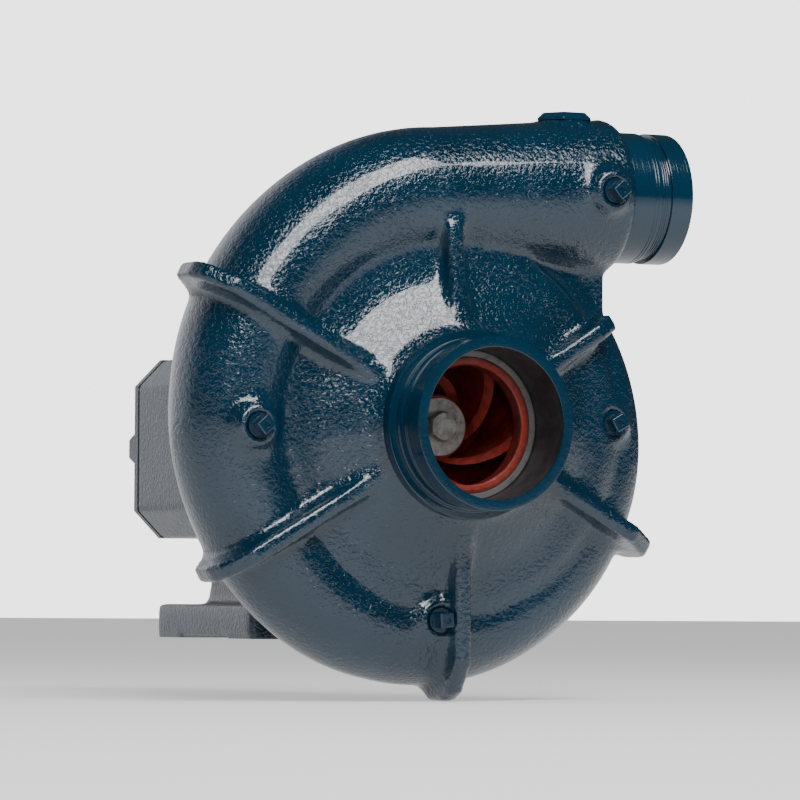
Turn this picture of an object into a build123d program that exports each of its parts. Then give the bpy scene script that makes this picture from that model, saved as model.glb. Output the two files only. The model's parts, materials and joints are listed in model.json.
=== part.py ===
from build123d import *
from math import cos, log, radians, sin, sqrt, tan
import os

# End-suction centrifugal water pump on an oil-bath bearing frame.
# Every piece is drawn in the pump frame: the shaft axis is Y, y = 0 is the centre plane of the
# volute and of the discharge, the suction mouth points to -Y, the discharge to +X, and up is +Z.
# stand() then moves each finished piece so that the origin is the centre of the four foot bolts,
# on the plane that the feet are bolted to.

# Driving sizes, in millimetres and degrees

# Stand
FLANGE_R = 130.0
FOOT_DROP = 12.0
SHAFT_HEIGHT = FLANGE_R + FOOT_DROP
FOOT_CENTRE_Y = 130.0
FOOT_LENGTH = 154.0
FOOT_WIDTH = 46.0
FOOT_THICK = 23.0
FOOT_OUTER_X = 105.0
FOOT_BOLT_SPACING_X = 164.0
FOOT_BOLT_SPACING_Y = 112.0
FOOT_HOLE_R = 7.0
FOOT_PAD_RELIEF = 2.0
FOOT_PAD_LENGTH = 40.0
FOOT_ROUND = 5.0

# Grooved pipe ends
SUCTION_R = 57.15
SUCTION_GROOVE_R = 55.05
SUCTION_BORE_R = 49.9
SUCTION_LENGTH = 31.3
DISCHARGE_R = 44.45
DISCHARGE_GROOVE_R = 42.45
DISCHARGE_BORE_R = 39.0
DISCHARGE_LENGTH = 46.0
GROOVE_SETBACK = 15.9
SUCTION_GROOVE_WIDTH = 9.5
DISCHARGE_GROOVE_WIDTH = 8.0
MOUTH_CHAMFER = 1.0

# Volute casing
SUCTION_FACE_Y = -97.4
SHOULDER_R = 62.7
SHOULDER_WIDTH = 9.0
TONGUE_ANGLE = 40.0
FULL_WRAP = 310.0
TONGUE_OVERLAP = 20.0
DISCHARGE_HEIGHT = 159.0
DISCHARGE_RISE = 5.0
START_CENTRE_R = FLANGE_R - 4.0
END_CENTRE_R = DISCHARGE_HEIGHT - DISCHARGE_RISE
START_SECTION_R = 24.0
END_SECTION_R = 47.0
CASING_WALL = 9.0
REGISTER_R = FLANGE_R - 22.0
THROAT_R = REGISTER_R + 14.0
THROAT_HALF = 14.0
DISCHARGE_BODY_R = 53.2
DISCHARGE_BODY_X = 131.5
DISCHARGE_BODY_ROUND = 7.0
CASING_BACK_Y = 64.0
CHAMBER_FRONT_Y = -22.0
NECK_FILLET = 4.0
CONE_R = FLANGE_R - 30.0
CONE_Y = -36.5
SHELF_R = FLANGE_R - 12.0
SHELF_Y = -34.5
SHELF_ROUND = 8.0
SHELF_DROP = 3.5
SHELF_END_Y = -20.0
BODY_R = FLANGE_R - 10.0
BODY_HALF = 12.0
FLANGE_FRONT_Y = 42.0
STUD_CIRCLE_R = FLANGE_R - 11.0
STUD_HOLE_DEPTH = 16.0
STUD_CLEARANCE = 0.5
STUD_COUNT = 8
STUD_R = 6.0
TONGUE_WEB_HALF = 18.0
TONGUE_WEB_X = 124.0

# Ribs of the casing
RIB_THICK = 12.0
RIB_ROUND = 2.2
RIB_CREST_Y = -48.5
RIB_START_R = 68.0
RIB_START_FRONT = 12.0
RIB_RAMP = 16.0
RIB_RAMP_DROP = 2.0
RIB_ROOT_Y = -40.0
RIB_BACK_Y = -15.0
SHORT_RIB_SLOPE = 14.0
SHORT_RIB_DROP = 6.0
LUG_SLOPE = 24.0
LUG_CORNER = 5.0
LUG_CORNER_DROP = 11.0
LUG_TIP_FRONT_Y = -24.0
LUG_TIP_BACK_Y = -3.0
LUG_END_Y = 20.0
LUG_ROOT = 18.0

# Plugs in the casing
PLUG_R = 8.3
PLUG_BOSS_R = 17.0
PLUG_BOSS_PROUD = 2.5
PLUG_BOSS_CHAMFER = 1.5
PLUG_STEP_R = 13.5
PLUG_STEP = 4.5
PLUG_HEAD_WIDTH = 10.0
PLUG_HEAD_ROUND = 1.2
PLUG_HEAD_HEIGHT = 10.0
PLUG_DIMPLE_R = 2.2
PLUG_DIMPLE = 1.5
PLUG_DEPTH = 11.0
PLUG_HOLE_DEPTH = 24.0
SIDE_PLUG_X = 109.6
SIDE_PLUG_TURN = 40.0
PRIMING_X = 102.0
PRIMING_R = 13.0
PRIMING_HEX = 36.0
PRIMING_HEAD = 5.5
PRIMING_BEVEL = 4.0
PRIMING_DEPTH = 12.0
PRIMING_PAD_R = 21.0
PRIMING_PAD_SINK = 3.0

# Impeller
IMPELLER_R = REGISTER_R - 4.0
EYE_R = 39.5
EYE_HUB_R = 43.3
EYE_Y = -58.4
EYE_HUB_LENGTH = 11.9
OUTLET_WIDTH = 25.0
SHROUD = 5.0
HUB_R = 21.5
HUB_NOSE_Y = -14.0
HUB_BACK_R = 24.0
HUB_BACK_Y = 36.0
VANE_COUNT = 5
VANE_ANGLE = 28.0
VANE_THICK = 4.5
VANE_PHASE = 61.0

# Wear ring
RING_WIDTH = 11.0
RING_CHAMFER = 1.4
RING_FACE = 5.6
RING_SEAT_R = 52.5
RING_RUN_GAP = 0.3

# Shaft and what is on it
SEAT_R = 15.0
SEAL_R = 19.0
BEARING_BORE_R = 20.0
MIDDLE_R = 24.0
DRIVE_R = 19.0
PILOT_R = 17.0
PILOT_LENGTH = 18.0
SHAFT_CHAMFER = 1.5
SHAFT_END_Y = 388.0
KEY_WIDTH = 8.0
KEY_HEIGHT = 7.0
DRIVE_KEY_LENGTH = 50.0
DRIVE_KEY_SETBACK = 22.0
BOLT_R = 6.0
BOLT_HEX = 18.0
BOLT_HEAD = 7.5
BOLT_LENGTH = 28.0
WASHER_R = 19.3
WASHER_THICK = 2.5
SLINGER_R = 38.0
SLINGER_Y = 104.0

# Shaft seal
SEAL_CHAMBER_R = 32.0
SEAL_SEAT_R = 28.0
SEAL_RUN_GAP = 0.3
SPRING_WIRE_R = 1.3
SPRING_TURNS = 3.5

# Ball bearings
BEARING_R = 45.0
BEARING_WIDTH = 23.0
BALL_R = 7.4
BALL_PITCH_R = 32.5
BALL_COUNT = 8
BALL_GAP = 0.3
CAGE_HALF = 1.4
FRONT_BEARING_Y = 134.0
REAR_BEARING_Y = 263.0

# Bearing housing
HOUSING_FRONT_Y = 122.0
HOUSING_BACK_Y = 296.0
HOUSING_HALF_X = 79.5
HOUSING_TOP_Z = 54.5
HOUSING_BOTTOM_Z = -72.5
HOUSING_CHAMFER = 19.3
HOUSING_WALL = 9.0
FRAME_FLANGE = 11.0
LANTERN_R = 62.0
LANTERN_WALL = 9.0
WINDOW_HEIGHT = 60.0
LEG_FRONT_Y = 120.0
LEG_BACK_Y = 176.0
LEG_THICK = 24.0
LEG_FLARE = 9.0
LIP_SEAL_R = 28.0
LIP_SEAL_WIDTH = 8.0

# Oil fittings
OIL_FILL_R = 11.0
OIL_FILL_Y = 205.0
OIL_CAP_R = 16.0
OIL_CAP_HEIGHT = 12.0
OIL_DRAIN_R = 8.0
OIL_DRAIN_Y = 235.0
OIL_DRAIN_HEX = 19.0
OIL_DRAIN_HEAD = 7.0
OIL_GAUGE_R = 12.0
OIL_GAUGE_Y = 215.0
OIL_GAUGE_Z = -32.0
OIL_GAUGE_HEX = 32.0
OIL_GAUGE_BEZEL = 6.0
OIL_GAUGE_GLASS_R = 8.5
OIL_THREAD = 8.0

# Covers, gaskets and their screws
PAPER = 0.8
COVER_GASKET = 1.6
COVER_GASKET_SETBACK = 0.6
COVER_THICK = 8.0
COVER_BOSS_R = 12.5
COVER_BOSS_TOP_R = 10.0
COVER_BOSS_HEIGHT = 7.5
COVER_SCREW_R = 4.0
COVER_SCREW_HEAD_R = 6.5
COVER_SCREW_HEAD = 8.0
COVER_SCREW_SINK = 0.5
COVER_SCREW_LENGTH = 24.0
BACKPLATE_FLANGE = 10.0
BACKPLATE_WALL = 10.0
NUT_HEX = 18.0
NUT_HEIGHT = 10.0

# Clearances
FIT = 0.02
RUNNING = 0.1
SEAT_GAP = 0.1
WALL_GAP = 4.0

# Places that follow from the driving sizes
SHOULDER_Y = SUCTION_FACE_Y + SUCTION_LENGTH
BACKPLATE_Y = CASING_BACK_Y + PAPER
FRAME_Y = BACKPLATE_Y + BACKPLATE_FLANGE
BACKPLATE_FRONT_Y = OUTLET_WIDTH / 2 + SHROUD + WALL_GAP
SEAL_WALL_Y = BACKPLATE_Y - 3.0
COVER_Y = HOUSING_BACK_Y + COVER_GASKET
COVER_BACK_Y = COVER_Y + COVER_THICK
HOUSING_MIDDLE_Z = (HOUSING_TOP_Z + HOUSING_BOTTOM_Z) / 2
RING_FRONT_Y = EYE_Y - 0.2
RING_SEAT_Y = RING_FRONT_Y - SEAT_GAP
RING_BACK_Y = RING_FRONT_Y + RING_WIDTH
FOOT_TOP_Z = FOOT_THICK - SHAFT_HEIGHT

# Each long rib of the casing: angle round the axis, how far its lug stands out from the rim
LONG_RIBS = {"upper_left": (151.7, 20.0), "lower_left": (210.6, 17.0), "bottom": (271.2, 11.0), "lower_right": (332.0, 13.0)}

# Each short rib: angle round the axis, distance at which it ends
SHORT_RIBS = {"top": (91.8, END_CENTRE_R - 8.0), "upper_right": (31.5, START_CENTRE_R + 12.5)}

# Each plug on the volute: angle round the axis, distance from the channel's centre line, turn of its head
VOLUTE_PLUGS = {"left": (181.0, 0.4, 40.0), "right": (2.1, -6.2, 30.0), "drain": (265.6, -9.3, 6.0)}


# Shape helpers

def turned(*points):
    """A solid of revolution about the shaft axis from (radius, y) points."""
    return revolve(make_face(Polyline(*points, close=True)), Axis.Y)


def ring(outer, inner, y0, y1):
    """A plain ring about the shaft axis."""
    return turned((inner, y0), (outer, y0), (outer, y1), (inner, y1))


def disc(radius, y0, y1, x=0.0, z=0.0):
    """A round bar along Y."""
    return Pos(x, (y0 + y1) / 2, z) * Rot(90, 0, 0) * Cylinder(radius, y1 - y0)


def bar_z(radius, z0, z1, x=0.0, y=0.0):
    """A round bar along Z."""
    return Pos(x, y, (z0 + z1) / 2) * Cylinder(radius, z1 - z0)


def block(x0, x1, y0, y1, z0, z1):
    """A box between two corners."""
    return Pos((x0 + x1) / 2, (y0 + y1) / 2, (z0 + z1) / 2) * Box(x1 - x0, y1 - y0, z1 - z0)


def hex_bar(across, y0, y1, x=0.0, z=0.0, turn=0.0):
    """A hexagonal bar along Y, given across its flats."""
    face = Plane((x, y1, z), x_dir=(1, 0, 0), z_dir=(0, -1, 0)) * Rot(0, 0, turn)
    return extrude(face * RegularPolygon(across / 2, 6, major_radius=False), amount=y1 - y0)


def polar(radius, angle):
    """The (x, z) place at an angle round the shaft axis, seen from the suction side."""
    return radius * cos(radians(angle)), radius * sin(radians(angle))


def around(shape, count, first=0.0):
    """Copies of a shape spaced evenly round the shaft axis."""
    return [Rot(0, first + 360 * i / count, 0) * shape for i in range(count)]


def fused(shapes):
    """One solid out of overlapping ones."""
    return shapes[0] + shapes[1:]


# The spiral channel of the casing

def wrap_share(wrap):
    return wrap / FULL_WRAP


def centre_radius(wrap):
    """Distance from the shaft axis to the channel's centre line."""
    return START_CENTRE_R + (END_CENTRE_R - START_CENTRE_R) * wrap_share(wrap)


def section_radius(wrap):
    """Outer radius of the channel's round section."""
    return START_SECTION_R + (END_SECTION_R - START_SECTION_R) * wrap_share(wrap)


def outline_radius(angle):
    """Outer radius of the casing at an angle round the axis."""
    wrap = (TONGUE_ANGLE - angle) % 360
    return centre_radius(wrap) + section_radius(wrap)


def spiral_section(wrap, wall):
    """The channel's section at a wrap angle, less a wall."""
    angle = radians(TONGUE_ANGLE - wrap)
    radial = Vector(cos(angle), 0, sin(angle))
    flow = Vector(sin(angle), 0, -cos(angle))
    centre = radial * centre_radius(wrap)
    return Plane(centre, x_dir=radial, z_dir=flow) * Circle(section_radius(wrap) - wall)


def spiral_quarter(wall, first_wrap, last_wrap):
    """One stretch of the channel, through four sections."""
    steps = 3
    wraps = [first_wrap + (last_wrap - first_wrap) * i / steps for i in range(steps + 1)]
    return loft([spiral_section(w, wall) for w in wraps])


def spiral(wall, first_wrap):
    """The channel's stretches from a first wrap angle to the top, where the discharge begins."""
    span = (FULL_WRAP - first_wrap) / 4
    return [spiral_quarter(wall, first_wrap + span * i, first_wrap + span * (i + 1)) for i in range(4)]


def discharge_section(x, z, radius):
    return Plane((x, 0, z), x_dir=(0, 0, 1), z_dir=(1, 0, 0)) * Circle(radius)


def discharge_taper(start_r, end_r, end_x):
    """The straight run from the top of the spiral to the discharge."""
    middle_z = (END_CENTRE_R + DISCHARGE_HEIGHT) / 2
    return loft([discharge_section(0, END_CENTRE_R, start_r),
                 discharge_section(end_x / 2, middle_z, (start_r + end_r) / 2),
                 discharge_section(end_x, DISCHARGE_HEIGHT, end_r)])


# Casing

def grooved_end(radius, groove_r, groove_width, mouth_y, root_y):
    """A spigot for a grooved coupling: lip, groove and land, mouth towards -Y."""
    groove_y = mouth_y + GROOVE_SETBACK
    return turned((0, mouth_y), (radius - MOUTH_CHAMFER, mouth_y), (radius, mouth_y + MOUTH_CHAMFER),
                  (radius, groove_y), (groove_r, groove_y), (groove_r, groove_y + groove_width),
                  (radius, groove_y + groove_width), (radius, root_y), (0, root_y))


def to_discharge(shape):
    """Turns a shape drawn about the shaft axis on to the discharge axis, -Y to +X."""
    return Pos(0, 0, DISCHARGE_HEIGHT) * Rot(0, 0, 90) * shape


def discharge_mouth_x():
    return DISCHARGE_BODY_X + DISCHARGE_LENGTH


def front_wall():
    """The neck, the cone, the flat shelf round it and the ring that the cover is bolted to."""
    neck_y = SHOULDER_Y + SHOULDER_WIDTH
    return turned((0, SHOULDER_Y), (SHOULDER_R - MOUTH_CHAMFER, SHOULDER_Y), (SHOULDER_R, SHOULDER_Y + MOUTH_CHAMFER),
                  (SHOULDER_R, neck_y), (SHOULDER_R + NECK_FILLET, neck_y + NECK_FILLET), (CONE_R, CONE_Y),
                  (SHELF_R, SHELF_Y), (SHELF_R + SHELF_ROUND, SHELF_Y + SHELF_DROP), (FLANGE_R + 1, SHELF_END_Y),
                  (BODY_R, -BODY_HALF), (BODY_R, BODY_HALF), (FLANGE_R, FLANGE_FRONT_Y), (FLANGE_R, CASING_BACK_Y),
                  (0, CASING_BACK_Y))


def rib_start():
    """The inner end of every rib, rising from the neck to the crest, in (radius, y)."""
    return [(RIB_START_R, RIB_ROOT_Y), (RIB_START_R, SHOULDER_Y + RIB_START_FRONT),
            (RIB_START_R + RIB_RAMP, RIB_CREST_Y - RIB_RAMP_DROP)]


def blade(points, angle, rounded):
    """A rib from its profile in (radius, y), with the chosen edges rounded."""
    plate = extrude(make_face(Polyline(*points, close=True)), amount=RIB_THICK / 2, both=True)
    edges = plate.edges().filter_by(Axis.Z, reverse=True).filter_by(lambda e: e.center().X > RIB_START_R + 1)
    return Rot(0, -angle, 0) * fillet(edges.filter_by(rounded), RIB_ROUND)


def long_rib(angle, proud):
    """A rib from the neck over the channel's crest to its lug on the rim."""
    rim_r = outline_radius(angle)
    tip_r = rim_r + proud
    points = rib_start() + [(tip_r - LUG_SLOPE, RIB_CREST_Y), (tip_r - LUG_CORNER, LUG_TIP_FRONT_Y - LUG_CORNER_DROP),
                            (tip_r, LUG_TIP_FRONT_Y), (tip_r, LUG_TIP_BACK_Y), (rim_r - LUG_CORNER, LUG_END_Y),
                            (rim_r - LUG_ROOT, LUG_END_Y), (rim_r - LUG_ROOT, RIB_BACK_Y), (CONE_R + 10, RIB_BACK_Y)]
    return blade(points, angle, lambda e: e.center().Y < RIB_ROOT_Y - 1 or e.center().X > rim_r)


def short_rib(angle, end_r):
    """A rib that ends on the channel's flank."""
    points = rib_start() + [(end_r - SHORT_RIB_SLOPE, RIB_CREST_Y), (end_r, RIB_CREST_Y + SHORT_RIB_DROP),
                            (end_r, RIB_BACK_Y), (CONE_R + 10, RIB_BACK_Y)]
    return blade(points, angle, lambda e: e.center().Y < RIB_ROOT_Y - 1)


def channel_front_y(angle, radius):
    """How far forward the channel's outside reaches at a place on the volute."""
    wrap = (TONGUE_ANGLE - angle) % 360
    offset = radius - centre_radius(wrap)
    return -sqrt(section_radius(wrap) ** 2 - offset ** 2)


def plug_places():
    """(x, z, boss face y, turn of the head) of the four plugs that point forward."""
    places = []
    for angle, offset, turn in VOLUTE_PLUGS.values():
        radius = centre_radius((TONGUE_ANGLE - angle) % 360) + offset
        places.append((*polar(radius, angle), channel_front_y(angle, radius) - PLUG_BOSS_PROUD - PLUG_STEP, turn))
    side_r = END_SECTION_R + (DISCHARGE_BODY_R - END_SECTION_R) * SIDE_PLUG_X / DISCHARGE_BODY_X
    places.append((SIDE_PLUG_X, DISCHARGE_HEIGHT, -side_r - PLUG_BOSS_PROUD - PLUG_STEP, SIDE_PLUG_TURN))
    return places


def plug_boss(place):
    """A round boss with a smaller step on it."""
    x, z, face_y, turn = place
    step = disc(PLUG_STEP_R, face_y, face_y + PLUG_STEP + 1, x, z)
    step = chamfer(step.faces().sort_by(Axis.Y)[0].edges(), PLUG_BOSS_CHAMFER)
    boss = disc(PLUG_BOSS_R, face_y + PLUG_STEP, face_y + PLUG_HOLE_DEPTH - 2, x, z)
    return chamfer(boss.faces().sort_by(Axis.Y)[0].edges(), PLUG_BOSS_CHAMFER) + step


def priming_pad_z():
    """Height of the flat that the priming plug sits on."""
    return DISCHARGE_HEIGHT + DISCHARGE_BODY_R - PRIMING_PAD_SINK


def stud_angles():
    return [360 * (i + 0.5) / STUD_COUNT for i in range(STUD_COUNT)]


def stud_holes(radius, y0, y1):
    holes = [disc(radius, y0, y1, *polar(STUD_CIRCLE_R, angle)) for angle in stud_angles()]
    return fused(holes)


def casing_outside():
    body = discharge_taper(END_SECTION_R, DISCHARGE_BODY_R, DISCHARGE_BODY_X)
    body = fillet(body.faces().sort_by(Axis.X)[-1].edges(), DISCHARGE_BODY_ROUND)
    suction = grooved_end(SUCTION_R, SUCTION_GROOVE_R, SUCTION_GROOVE_WIDTH, SUCTION_FACE_Y, SHOULDER_Y + 1)
    spigot = grooved_end(DISCHARGE_R, DISCHARGE_GROOVE_R, DISCHARGE_GROOVE_WIDTH, -discharge_mouth_x(),
                         -DISCHARGE_BODY_X + 20)
    web = block(70, TONGUE_WEB_X, -TONGUE_WEB_HALF, TONGUE_WEB_HALF, 50, DISCHARGE_HEIGHT - 30)
    pad = bar_z(PRIMING_PAD_R, DISCHARGE_HEIGHT + 30, priming_pad_z(), PRIMING_X)
    ribs = [long_rib(*place) for place in LONG_RIBS.values()] + [short_rib(*place) for place in SHORT_RIBS.values()]
    bosses = [plug_boss(place) for place in plug_places()]
    pieces = spiral(0, -TONGUE_OVERLAP) + [body, front_wall(), suction, to_discharge(spigot), web, pad]
    return fused(pieces + ribs + bosses)


def casing_inside():
    """The water passage: suction bore, impeller chamber, spiral and discharge."""
    chamber = turned((0, SUCTION_FACE_Y - 1), (SUCTION_BORE_R, SUCTION_FACE_Y - 1), (SUCTION_BORE_R, RING_SEAT_Y),
                     (RING_SEAT_R, RING_SEAT_Y), (RING_SEAT_R, RING_BACK_Y), (RING_SEAT_R + 2, RING_BACK_Y),
                     (REGISTER_R, CHAMBER_FRONT_Y), (REGISTER_R, CASING_BACK_Y + 1), (0, CASING_BACK_Y + 1))
    bore = to_discharge(disc(DISCHARGE_BORE_R, -discharge_mouth_x() - 1, -DISCHARGE_BODY_X + 10))
    taper = discharge_taper(END_SECTION_R - CASING_WALL, DISCHARGE_BORE_R, DISCHARGE_BODY_X)
    throat = ring(THROAT_R, REGISTER_R - 20, -THROAT_HALF, THROAT_HALF)
    return fused([chamber, throat, taper, bore] + spiral(CASING_WALL, 0))


def volute_casing():
    casing = casing_outside() - casing_inside()
    for x, z, face_y, turn in plug_places():
        casing = casing - disc(PLUG_R, face_y - 1, face_y + PLUG_HOLE_DEPTH, x, z)
    top_z = priming_pad_z()
    casing = casing - bar_z(PRIMING_R, DISCHARGE_HEIGHT, top_z + PRIMING_PAD_SINK + 1, PRIMING_X)
    casing = casing - bar_z(PRIMING_PAD_R, top_z, top_z + PRIMING_PAD_SINK + 1, PRIMING_X)
    return casing - stud_holes(STUD_R, CASING_BACK_Y - STUD_HOLE_DEPTH, CASING_BACK_Y + 1)


def pipe_plugs():
    """The four square-headed plugs, each with a dished end."""
    plugs = []
    for x, z, face_y, turn in plug_places():
        thread = disc(PLUG_R - FIT, face_y, face_y + PLUG_DEPTH, x, z)
        head_y = face_y - PLUG_HEAD_HEIGHT
        square = Plane((x, face_y, z), x_dir=(1, 0, 0), z_dir=(0, -1, 0)) * Rot(0, 0, turn)
        outline = square * RectangleRounded(PLUG_HEAD_WIDTH, PLUG_HEAD_WIDTH, PLUG_HEAD_ROUND)
        head = extrude(outline, amount=PLUG_HEAD_HEIGHT)
        head = chamfer(head.faces().sort_by(Axis.Y)[0].edges(), PLUG_HEAD_ROUND / 2)
        plugs.append(thread + head - disc(PLUG_DIMPLE_R, head_y - 1, head_y + PLUG_DIMPLE, x, z))
    return Compound(plugs)


def priming_plug():
    """The low hexagon plug on top, with its sides bevelled."""
    z = priming_pad_z()
    face = Plane((PRIMING_X, 0, z), x_dir=(1, 0, 0)) * RegularPolygon(PRIMING_HEX / 2, 6, major_radius=False)
    head = extrude(face, amount=PRIMING_HEAD)
    head = chamfer(head.faces().sort_by(Axis.Z)[-1].edges(), PRIMING_BEVEL)
    return head + bar_z(PRIMING_R - FIT, z - PRIMING_DEPTH, z + 1, PRIMING_X)


def wear_ring():
    inner = EYE_HUB_R + RING_RUN_GAP
    step_y = RING_FRONT_Y + RING_CHAMFER
    return turned((inner, RING_FRONT_Y), (inner + RING_FACE, RING_FRONT_Y), (inner + RING_FACE + RING_CHAMFER, step_y),
                  (RING_SEAT_R - FIT, step_y), (RING_SEAT_R - FIT, RING_BACK_Y), (inner, RING_BACK_Y))


# Impeller

def shroud_front():
    """The curved front shroud with the eye hub that runs in the wear ring."""
    half = OUTLET_WIDTH / 2
    hub_y = EYE_Y + EYE_HUB_LENGTH
    inside = Spline((EYE_R, EYE_Y + 9), (EYE_R + 5, EYE_Y + 21.9), (between(0.455), EYE_Y + 33.9), (IMPELLER_R, -half),
                    tangents=((0, 1), (1, 0.12)))
    outside = Spline((IMPELLER_R, -half - SHROUD), (between(0.515), EYE_Y + 27.4), (EYE_HUB_R + 7.2, EYE_Y + 19.9),
                     (EYE_HUB_R, hub_y), tangents=((-1, -0.12), (-0.55, -1)))
    close = Polyline((EYE_HUB_R, hub_y), (EYE_HUB_R, EYE_Y), (EYE_R + 1, EYE_Y), (EYE_R, EYE_Y + 1), (EYE_R, EYE_Y + 9))
    rim = Line((IMPELLER_R, -half), (IMPELLER_R, -half - SHROUD))
    return revolve(make_face(inside + rim + outside + close), Axis.Y)


def shroud_back():
    """The back shroud, its hub and its nose."""
    half = OUTLET_WIDTH / 2
    curve = Spline((HUB_R, HUB_NOSE_Y + 4), (between(0.103), 4), (between(0.37), 10.5), (IMPELLER_R, half),
                   tangents=((0.25, 1), (1, 0.02)))
    rest = Polyline((IMPELLER_R, half), (IMPELLER_R, half + SHROUD), (HUB_BACK_R + 4, half + SHROUD),
                    (HUB_BACK_R, half + SHROUD + 3), (HUB_BACK_R, HUB_BACK_Y), (0, HUB_BACK_Y), (0, HUB_NOSE_Y),
                    (HUB_R - 0.8, HUB_NOSE_Y), (HUB_R, HUB_NOSE_Y + 0.8), (HUB_R, HUB_NOSE_Y + 4))
    return revolve(make_face(curve + rest), Axis.Y)


def vane_angle_at(radius):
    """Angle of the vane's middle line, which turns back as a log spiral."""
    return log(radius / HUB_R) / tan(radians(VANE_ANGLE))


def between(share):
    """The radius at a share of the way from the hub's surface to the impeller's rim."""
    return HUB_R + (IMPELLER_R - HUB_R) * share


def vane_side(side):
    """Points along one side of the vane, seen from the suction side."""
    points = []
    for share in (-0.036, 0.067, 0.176, 0.345, 0.564, 0.782, 1.0):
        radius = between(share)
        spread = side * VANE_THICK / 2 / (radius * sin(radians(VANE_ANGLE)))
        angle = vane_angle_at(radius) + spread
        points.append((radius * cos(angle), radius * sin(angle)))
    return points


def vane_space():
    """The space of revolution between the shrouds that the vanes fill."""
    half = OUTLET_WIDTH / 2
    return turned((between(-0.036), HUB_NOSE_Y + 4), (EYE_R + 2, EYE_Y + 12.4), (EYE_R + 7.5, EYE_Y + 21.6),
                  (between(0.467), EYE_Y + 31.6), (between(0.709), EYE_Y + 38.8), (IMPELLER_R, -half - 1),
                  (IMPELLER_R, half + 1), (between(0.345), 13), (between(0.091), 6), (between(-0.036), 0))


def vane():
    upper = Spline(*vane_side(1))
    lower = Spline(*vane_side(-1))
    tip = Line(upper @ 1, lower @ 1)
    root = Line(upper @ 0, lower @ 0)
    blade = extrude(Plane.XZ.offset(-20) * make_face(upper + lower + tip + root), amount=80)
    return blade & vane_space()


def keyway(seat_r, y0, y1):
    """A slot for a parallel key on top of the shaft."""
    top = seat_r + KEY_HEIGHT * 0.45
    return block(-KEY_WIDTH / 2, KEY_WIDTH / 2, y0, y1, seat_r - KEY_HEIGHT * 0.55, top)


def impeller():
    wheel = fused([shroud_front(), shroud_back()] + around(vane(), VANE_COUNT, -VANE_PHASE))
    wheel = wheel - disc(SEAT_R + FIT, HUB_NOSE_Y + 3, HUB_BACK_Y + 1)
    wheel = wheel - disc(BOLT_R + 1, HUB_NOSE_Y - 1, HUB_NOSE_Y + 4)
    slot = block(-KEY_WIDTH / 2 - FIT, KEY_WIDTH / 2 + FIT, HUB_NOSE_Y + 3, HUB_BACK_Y + 1, 0,
                 SEAT_R + KEY_HEIGHT * 0.45 + FIT)
    return wheel - slot


def impeller_key():
    return keyway(SEAT_R, HUB_NOSE_Y + 12, HUB_BACK_Y - 4)


def impeller_washer():
    y = HUB_NOSE_Y
    washer = turned((BOLT_R + 0.5, y - WASHER_THICK), (WASHER_R - 0.6, y - WASHER_THICK),
                    (WASHER_R, y - WASHER_THICK + 0.6), (WASHER_R, y), (BOLT_R + 0.5, y))
    return washer


def impeller_bolt():
    """The hexagon bolt that holds the impeller on the shaft's nose."""
    y = HUB_NOSE_Y - WASHER_THICK
    head = hex_bar(BOLT_HEX, y - BOLT_HEAD, y, turn=12)
    crown = turned((0, y - BOLT_HEAD), (BOLT_HEX / 2 - 0.4, y - BOLT_HEAD), (BOLT_HEX / 2 + 2.2, y - BOLT_HEAD + 1.4),
                   (BOLT_HEX / 2 + 2.2, y), (0, y))
    return (head & crown) + disc(BOLT_R - FIT, y - 1, y + BOLT_LENGTH)


# Shaft and bearings

def shaft():
    body = turned((0, HUB_NOSE_Y + 3 + SEAT_GAP), (SEAT_R - 1, HUB_NOSE_Y + 3 + SEAT_GAP),
                  (SEAT_R, HUB_NOSE_Y + 4 + SEAT_GAP), (SEAT_R, HUB_BACK_Y + SEAT_GAP), (SEAL_R, HUB_BACK_Y + SEAT_GAP),
                  (SEAL_R, FRONT_BEARING_Y - 6), (BEARING_BORE_R, FRONT_BEARING_Y - 5),
                  (BEARING_BORE_R, FRONT_BEARING_Y + BEARING_WIDTH), (MIDDLE_R, FRONT_BEARING_Y + BEARING_WIDTH),
                  (MIDDLE_R, REAR_BEARING_Y), (BEARING_BORE_R, REAR_BEARING_Y),
                  (BEARING_BORE_R, REAR_BEARING_Y + BEARING_WIDTH + 6), (DRIVE_R, REAR_BEARING_Y + BEARING_WIDTH + 7),
                  (DRIVE_R, SHAFT_END_Y - PILOT_LENGTH), (PILOT_R, SHAFT_END_Y - PILOT_LENGTH),
                  (PILOT_R, SHAFT_END_Y - SHAFT_CHAMFER), (PILOT_R - SHAFT_CHAMFER, SHAFT_END_Y), (0, SHAFT_END_Y))
    body = body - disc(BOLT_R, HUB_NOSE_Y, HUB_NOSE_Y + BOLT_LENGTH + 2)
    body = body - keyway(SEAT_R, HUB_NOSE_Y + 12 - FIT, HUB_BACK_Y - 4 + FIT)
    key_y = SHAFT_END_Y - DRIVE_KEY_SETBACK
    return body - keyway(DRIVE_R, key_y - DRIVE_KEY_LENGTH - FIT, key_y + FIT)


def drive_key():
    key_y = SHAFT_END_Y - DRIVE_KEY_SETBACK
    return keyway(DRIVE_R, key_y - DRIVE_KEY_LENGTH, key_y)


def raceway(y):
    """The groove that the balls run in, as a torus round the shaft axis."""
    circle = Pos(BALL_PITCH_R, y + BEARING_WIDTH / 2) * Circle(BALL_R + BALL_GAP)
    return revolve(circle, Axis.Y)


def bearing_outer(y):
    return ring(BEARING_R - FIT, BALL_PITCH_R + 3.6, y, y + BEARING_WIDTH) - raceway(y)


def bearing_inner(y):
    return ring(BALL_PITCH_R - 3.6, BEARING_BORE_R + FIT, y, y + BEARING_WIDTH) - raceway(y)


def bearing_balls(y):
    ball = Pos(BALL_PITCH_R, y + BEARING_WIDTH / 2, 0) * Sphere(BALL_R)
    return Compound(around(ball, BALL_COUNT))


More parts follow.
